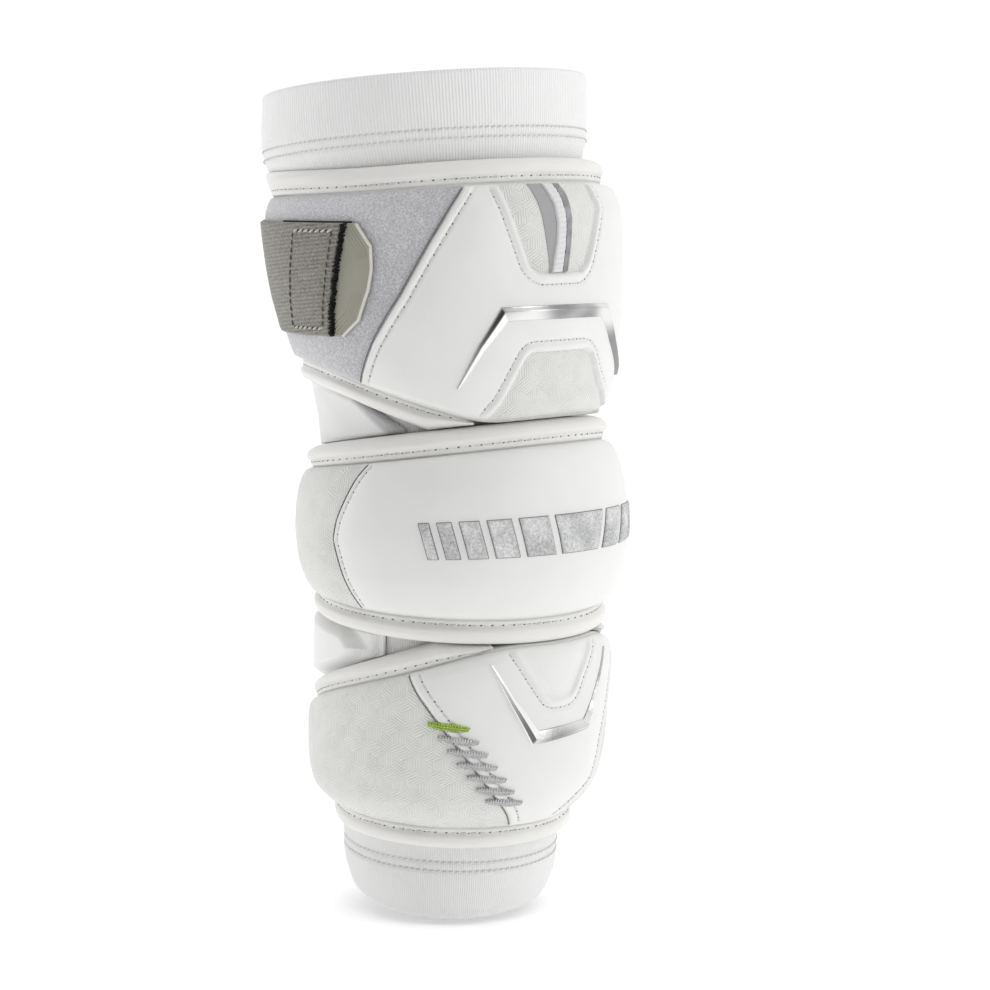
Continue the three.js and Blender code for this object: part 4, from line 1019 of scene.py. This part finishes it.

# %% [markdown]
# ## Raised bars across the elbow
# The elbow carries a row of slanted silver bars in raised embroidery. They are plain bars that
# narrow outwards, and a thin dark sheet at their foot, a painted shadow, sets them off the white leather.

# %% Elbow bars
radius = ELBOW + elbow.foam + 2.4
BARS = [11.5, 12.5, 9.5, 7.5, 5.5, 4.0]


def bar(name, node, start, end, lean_start, lean_end):
    left = [(.385, start - lean_start * 1.5), (.605, start + lean_start * 1.5)]
    right = [(.385, end - lean_end * 1.5), (.605, end + lean_end * 1.5)]
    lift = COVER_TOP + 0.5
    panel(name, elbow, left, right, 1.15, SILVER, "silver", [node], low=.385, high=.605, lift=lift,
          round_at=0.9, step=0.4)
    # a thin dark sheet under each bar, a painted shadow at its foot
    panel(name + "_foot_shadow", elbow, moved(left, -0.28), moved(right, 0.28), 0.42, SHADOW_STRIP, "silver", [],
          low=.3805, high=.6095, lift=lift, round_at=0.3, step=0.6)


half, between = math.degrees(BARS[0] / radius), math.degrees(3 / radius)
bar("elbow_bar_middle", "emblem_bar_middle", -half, half, -1, 1)
start = half + between
for i, size in enumerate(BARS[1:], 1):
    end = start + math.degrees(size / radius)
    bar(f"elbow_bar_left_{i}", f"emblem_bar_left_{i}", -end, -start, -1, -1)
    bar(f"elbow_bar_right_{i}", f"emblem_bar_right_{i}", start, end, 1, 1)
    start = end + between

# %% [markdown]
# ## Bar tacks
# Seven short bars of dense zigzag thread bridge the forearm's seam, the first in lime. Each is
# built of many thin threads across it, since that ragged outline is what makes a tack look sewn.

# %% Tacks
TACKS = [(-46.8, .638), (-43.2, .552), (-39.8, .473), (-36.2, .396), (-32.4, .320), (-28.8, .247),
         (-24.8, .178)]
TACK_THREADS, TACK_HALF = 30, 7.3
for i, (mid_at, mid_up) in enumerate(TACKS, 1):
    x0, y0 = forearm.to_flat(mid_at, mid_up)
    rng = np.random.default_rng(40 + i)
    bars, flats = [], []
    for k, s in enumerate(np.linspace(-TACK_HALF, TACK_HALF, TACK_THREADS)):
        tall = 1.55 * math.sqrt(1 - 0.8 * (s / 7.5) ** 2) * rng.uniform(0.82, 1.12)
        lean = 0.5 if k % 2 else -0.15
        line = np.stack([x0 + s + np.linspace(-lean, lean, 5),
                         y0 - s * 0.09 + np.linspace(-tall, tall, 5) + rng.uniform(-.1, .1)], -1)
        seam_x = np.interp(y0, SEAM_LEFT[:, 1], SEAM_LEFT[:, 0])
        lower = 0.75 * float(smooth((seam_x + 1.5 - line[2, 0]) / 3))
        level = LAYER_GAP + 1.7 + max(0.1, float(forearm.relief(line[:, 0], line[:, 1]).max())) - lower
        level += rng.uniform(0, .2)
        path, above = (forearm.point(line[:, 0], line[:, 1], level + over) for over in (0, 1))
        along, centre = path[-1] - path[0], path[2]
        normal = (above[2] - centre) / np.linalg.norm(above[2] - centre)
        side = np.cross(normal, along / np.linalg.norm(along))
        low = BAR[:, :1] ** 2 * 4 * 0.3
        bars.append(centre + BAR[:, :1] * along * 1.05 + BAR[:, 1:2] * side * 0.36 / 1000
                    + (BAR[:, 2:] * 0.55 - low + 0.25) * normal / 1000)
        flats.append(np.stack([BAR[:, 0] * 2 * tall, BAR[:, 1]], -1))
    thread, slot = (LIME, "lime") if i == 1 else (TACK, "silver")
    bar_piece(f"sewn_tack_{i}", bars, flats, thread, [f"bar_tack_{i}"])

# %% [markdown]
# ## Strap and pull tab
# The strap runs level round the back and lands on the loop cloth. Its end is folded and box
# stitched over a black hook layer that peeps out, and a rubber tab is sewn in to pull it open.
# The strap is as wide as its webbing, and it is unrolled at STRAP_R millimetres from the axis.

# %% Strap path
STRAP_W, STRAP_R, STRAP_Z = 43.0, 78, 100


def strap_place(at, across):
    """Height of a point on the strap."""
    return STRAP_Z - 13.4 / 2 * np.cos(np.radians(at)) + (across - 0.5) * STRAP_W


def strap_radius(at, z, lift):
    """Over the pad's cover, and on a straight line from the pad's end to the sleeve's back."""
    wrapped = np.where(at < -180, at + 360, at)
    ledge = 144.0

    def on_cover(angle):
        up = (z - upper.low(angle)) / (upper.high(angle) - upper.low(angle))
        return upper.surface(angle, up)[1] + lift

    taut = on_cover(ledge + 0 * wrapped) * np.cos(np.radians(180 - ledge)) / np.cos(
        np.radians(180 - np.maximum(np.abs(wrapped), ledge)))
    taut = np.maximum(taut, sleeve_surface(wrapped, z, 1.0))
    return np.where(np.abs(wrapped) <= ledge, on_cover(np.clip(wrapped, -ledge, ledge)), taut)


def strap_piece(name, first, last, lift, thick, material, slot, replaced, rows=40, step=1.2, relief=None,
                wider=0.0):
    """A layer of the strap between two ends, each given as rows of share of width and degrees."""
    across = ease(rows)[None, :]
    a0, a1 = (np.interp(across, *np.transpose(line)) for line in (first, last))
    share = ease(int(float((a1 - a0).max()) / step) + 6)[:, None]
    at = a0 + share * (a1 - a0)
    z = strap_place(at, across * (1 + wider / STRAP_W))
    edge = np.minimum(np.minimum(across, 1 - across) * STRAP_W + 0 * at,
                      np.minimum(share, 1 - share) * np.radians(a1 - a0) * STRAP_R)
    base = strap_radius(at, z, lift(at))
    height = thick * (0.25 + 0.75 * edge_round(edge, 0.8))
    x, y = np.radians(at) * STRAP_R, z
    if relief is not None:
        height = height + relief(x, y, edge)
    return shell(name, on_arm(at, z, base + height), on_arm(at, z, base), np.stack([x, y], -1), material,
                 slot, replaced)


STRAP_END, HOOK_START = [(0, -84.0), (1, -73.6)], [(0, -111.0), (1, -100.6)]
END_LOW, END_HIGH = (np.radians(a) * STRAP_R for _, a in STRAP_END)
STRAP_TOP = LAYER_GAP + 1.1 + LAYER_GAP


def on_loop(at):
    return STRAP_TOP + 0 * at


def strap_lift(at):
    """The strap rises over its hook layer, from 10 degrees before it."""
    return STRAP_TOP - 0.3 + 1.6 * smooth((at + 10 - HOOK_START[0][1]) / 8)


def before_end(x, y):
    """How far a point of the unrolled strap lies before its slanted end."""
    share = (y - strap_place(-80, 0)) / STRAP_W
    return END_LOW + (END_HIGH - END_LOW) * share - x


strap = strap_piece("webbing_strap", [(0, -234.0), (1, -234.0)], STRAP_END, strap_lift, 1.5, WEBBING,
                    "webbing", ["strap"], rows=44,
                    relief=lambda x, y, edge: 0.25 * smooth((27.0 - before_end(x, y)) / 1.5))
strap_piece("hook_layer", HOOK_START, [(0, -80.6), (1, -71.6)], on_loop, 1.5, HOOK, "hook", ["strap_hook"],
            wider=0.65, relief=lambda x, y, edge: -0.6 * smooth(-before_end(x, y) / 0.8))

# %% Strap stitches and frayed edge
def near_end(back, share):
    """Place along the unrolled strap, from millimetres before its end and share of its width."""
    return END_LOW + (END_HIGH - END_LOW) * share - back


def strap_run(start, end):
    back, share = (np.linspace(a, b, 60) for a, b in zip(start, end))
    at = np.degrees(near_end(back, share) / STRAP_R)
    z = strap_place(at, share)
    r = strap_radius(at, z, strap_lift(at)) + 1.5 + 0.5
    return on_arm(at, z, r), on_arm(at, z, r + 1)


box = [(25.0, 0.07), (25.0, 0.93), (4.0, 0.93), (4.0, 0.07), (25.0, 0.07)]
sides = [strap_run(start, end) for start, end in zip(box, box[1:])]
sew("strap_stitches", sides[::2], DARK_THREAD, "webbing", pitch=2.9, length=2.1, thick=0.3)
sew("strap_zigzag", sides[1::2], STRAP_THREAD, "webbing", pitch=2.9, length=2.7, thick=0.42, slant=0.4,
    hole=DARK_HOLE)
rng = np.random.default_rng(7)
frays = []
for share in np.linspace(0.01, 0.99, 130):
    x = near_end(-0.2 + rng.uniform(-0.5, 0.3), share)
    at = np.degrees(np.array([x - 1.0, x + rng.uniform(1.2, 2.0)]) / STRAP_R)
    z = strap_place(at, share) + rng.uniform(-0.35, 0.35, 2)
    r = strap_radius(at, z, STRAP_TOP + 1.5) + rng.uniform(0.2, 1.9) + np.array([0, -0.3])
    at, z, r = (np.linspace(*ends, 5) for ends in (at, z, r))
    frays.append((on_arm(at, z, r), on_arm(at, z, r + 1)))
sew("strap_fray", frays, HOOK, "hook", pitch=1.8, length=2.6, thick=0.4, slant=0.3, sink=0.2)

# %% Pull tab
TAB_EDGE = [(0, -79.4), (.15, -72.2), (.42, -67.4), (.60, -65.6), (.80, -65.2), (1, -69.4)]
tab_rim = rounded(np.stack([np.radians([a for _, a in TAB_EDGE]) * STRAP_R,
                            [float(strap_place(a, c)) for c, a in TAB_EDGE]], -1), 0.8, 1.5)


def tab_grooves(x, y, edge):
    """Four grooves beside the rim, which stop short of the tab's middle."""
    d = distance(x, y, tab_rim)
    lines = sum(groove(d - k, 0.3) for k in (2.4, 3.7, 5.0, 6.3))
    return 0.3 * (d < 1.0) - 0.3 * lines * np.clip(edge - 0.5, 0, 1) * (np.abs(y - STRAP_Z) > 6)


strap_piece("rubber_tab", moved(STRAP_END, -1.2), TAB_EDGE, on_loop, 1.7, RUBBER, "rubber", ["pull_tab"],
            rows=70, step=0.3, relief=tab_grooves)
share = np.linspace(0, 1, 5)[None, :]
rim = tab_rim[:, None] + share[..., None] * (beside(tab_rim, 0.9) - tab_rim)[:, None]
rim_at, rim_y = np.degrees(rim[..., 0] / STRAP_R), rim[..., 1]
rim_r = strap_radius(rim_at, rim_y, STRAP_TOP) + 1.75 + 0.35 * np.sin(math.pi * share)
shell("tab_rim", *(on_arm(rim_at, rim_y, rim_r + over) for over in (0.2, -1.6)), rim, RIM, "rubber")
print("strap and tab made")

# %% [markdown]
# ## Side wings
# Between the pads, at the sides of the elbow, small padded wings fill the gaps. The lower one
# rises to a plateau with soft slopes, like a moulded cup.

# %% Wings
UPPER_TIP, LOWER_TIP = 66, 79


def wing(name, side, tip, low, high, ridge, point, fan, cloth=WING):
    """The plateau is a wedge that opens backwards from its point, and fan is its half angle."""
    at = side * np.linspace(tip, 145, 90)[:, None]
    across = ease(34, 0.2)[None, :]
    bottom, top = low(at), high(at)
    z = bottom + across * (top - bottom)
    into = np.radians(np.abs(at) - point[0]) * 62 * math.sin(fan) - np.abs(z - point[1]) * math.cos(fan)
    border = np.minimum(across, 1 - across) * (top - bottom)
    plateau = smooth(into / 5.5) * smooth((border - 0.5) / 4.0)
    flange = 0.5 + 2.7 * smooth((np.abs(at) - tip) / 7)
    r = sleeve_radius(z) + flange * edge_round(border, 2.0) + (ridge - 3.2) * plateau
    r = np.maximum(r, sleeve_surface(at, z, SEAT_GAP) + MIN_FOAM / 2)
    piece = seated(name, at, z, r, 55, cloth, "wing", name.replace("_pad", ""))


for side, word in ((-1, "left"), (1, "right")):
    wing(f"upper_wing_pad_{word}", side, UPPER_TIP, lambda a: elbow_top(a) + PIECE_GAP,
         lambda a: np.minimum(upper_bottom(a) - PIECE_GAP, 38 + 17 * (np.abs(a) - UPPER_TIP) / 29 + 3),
         3.6, (80, 36), 0.6, UPPER_WING)
    wing(f"lower_wing_pad_{word}", side, LOWER_TIP, lambda a: forearm_top(a) + PIECE_GAP,
         lambda a: elbow_bottom(a) - PIECE_GAP, 9.0, (86, -43.4), 0.66)

# %% [markdown]
# ## Camera, floor and light
# The photograph was taken with a long lens, turned 45 degrees round the arm and a little above
# it. The light is a plain white room, brighter behind the object and at its sides than in front,
# so a white form turns grey in its middle and light at its edges. Three weak soft lamps add a
# little direction: one on the right, one above and one behind on the left. The floor also glows
# faintly, since a white floor in such a room throws much light up at the object.

# %% Camera
AZIMUTH, ELEVATION, DISTANCE, LENS = math.radians(-45), math.radians(7), 1.1, 100.0
back = Vector((math.sin(AZIMUTH) * math.cos(ELEVATION), -math.cos(AZIMUTH) * math.cos(ELEVATION),
               math.sin(ELEVATION)))
right = Vector((math.cos(AZIMUTH), math.sin(AZIMUTH), 0))
above = back.cross(right)
ORIGIN_PX, MIDDLE, SCALE = (459.0, 525.0), 495.0, 0.0004
aim = right * ((MIDDLE - ORIGIN_PX[0]) * SCALE) + above * ((ORIGIN_PX[1] - MIDDLE) * SCALE)


def placed(name, data, place, facing):
    made = bpy.data.objects.new(name, data)
    bpy.context.collection.objects.link(made)
    made.location = place
    made.rotation_mode = "QUATERNION"
    made.rotation_quaternion = facing.to_track_quat("-Z", "Y")
    return made


scene = bpy.context.scene
scene.camera = placed("camera", bpy.data.cameras.new("camera"), aim + back * DISTANCE, -back)
lens = scene.camera.data
lens.lens, lens.sensor_width, lens.clip_start, lens.clip_end = LENS, 36.0, 0.05, 60

# %% Floor and light
FLOOR_Z, WIDE = -0.1545, 50
floor_mesh = bpy.data.meshes.new("floor")
floor_mesh.from_pydata([(x * WIDE, y * WIDE, FLOOR_Z) for x, y in ((-1, -1), (1, -1), (1, 1), (-1, 1))], [],
                       [(0, 1, 2, 3)])
floor = bpy.data.objects.new("floor", floor_mesh)
bpy.context.collection.objects.link(floor)
paint = Finish("floor_paint")
speck = paint.noise(30, 2)
tint = paint.mix(speck, (250, 250, 250), (247, 247, 247))
floor_mesh.materials.append(paint.surface(tint, 0.8, speck, 0.00001, Emission_Color=(1, 1, 1, 1),
                                          Emission_Strength=0.3))

world = bpy.data.worlds.new("white_room")
scene.world = world
world.use_nodes = True
world.node_tree.nodes.clear()


class Room(Finish):
    """The surround. It takes its brightness from the direction, as seen from the object."""

    def __init__(self, tree):
        self.tree = tree


room = Room(world.node_tree)
toward = room.node("TexCoord", {}, {}, "Generated")
shady = (back - right * 0.45).normalized()
facing = room.node("VectorMath", {"operation": "DOT_PRODUCT"}, {0: toward, 1: tuple(shady)}, "Value")
ahead = room.node("VectorMath", {"operation": "DOT_PRODUCT"}, {0: toward, 1: tuple(back)}, "Value")
bright = 1.02 - 0.74 * facing.ramp(-0.15, 0.9) - 0.22 * ahead.ramp(0.9, 0.985)
background = room.node("Background", {}, {"Color": (1, 1, 1, 1), "Strength": bright})
surround = world.node_tree.nodes.new("ShaderNodeOutputWorld")
world.node_tree.links.new(background.socket, surround.inputs["Surface"])


def lamp(name, place, size, watts):
    light = bpy.data.lights.new(name, "AREA")
    light.shape, light.size, light.size_y, light.energy = "RECTANGLE", *size, watts
    placed(name, light, place, -place)


lamp("key", right * 1.1 + back * 0.5 + above * 0.7, (0.4, 0.9), 2.6)
lamp("top", back * 0.55 - right * 0.3 + above * 1.5, (0.6, 0.6), 2.2)
lamp("fill", -right * 1.3 - back * 0.25 + above * 0.2, (0.4, 0.9), 2.8)
scene.view_settings.view_transform = "Standard"
scene.view_settings.look = "None"
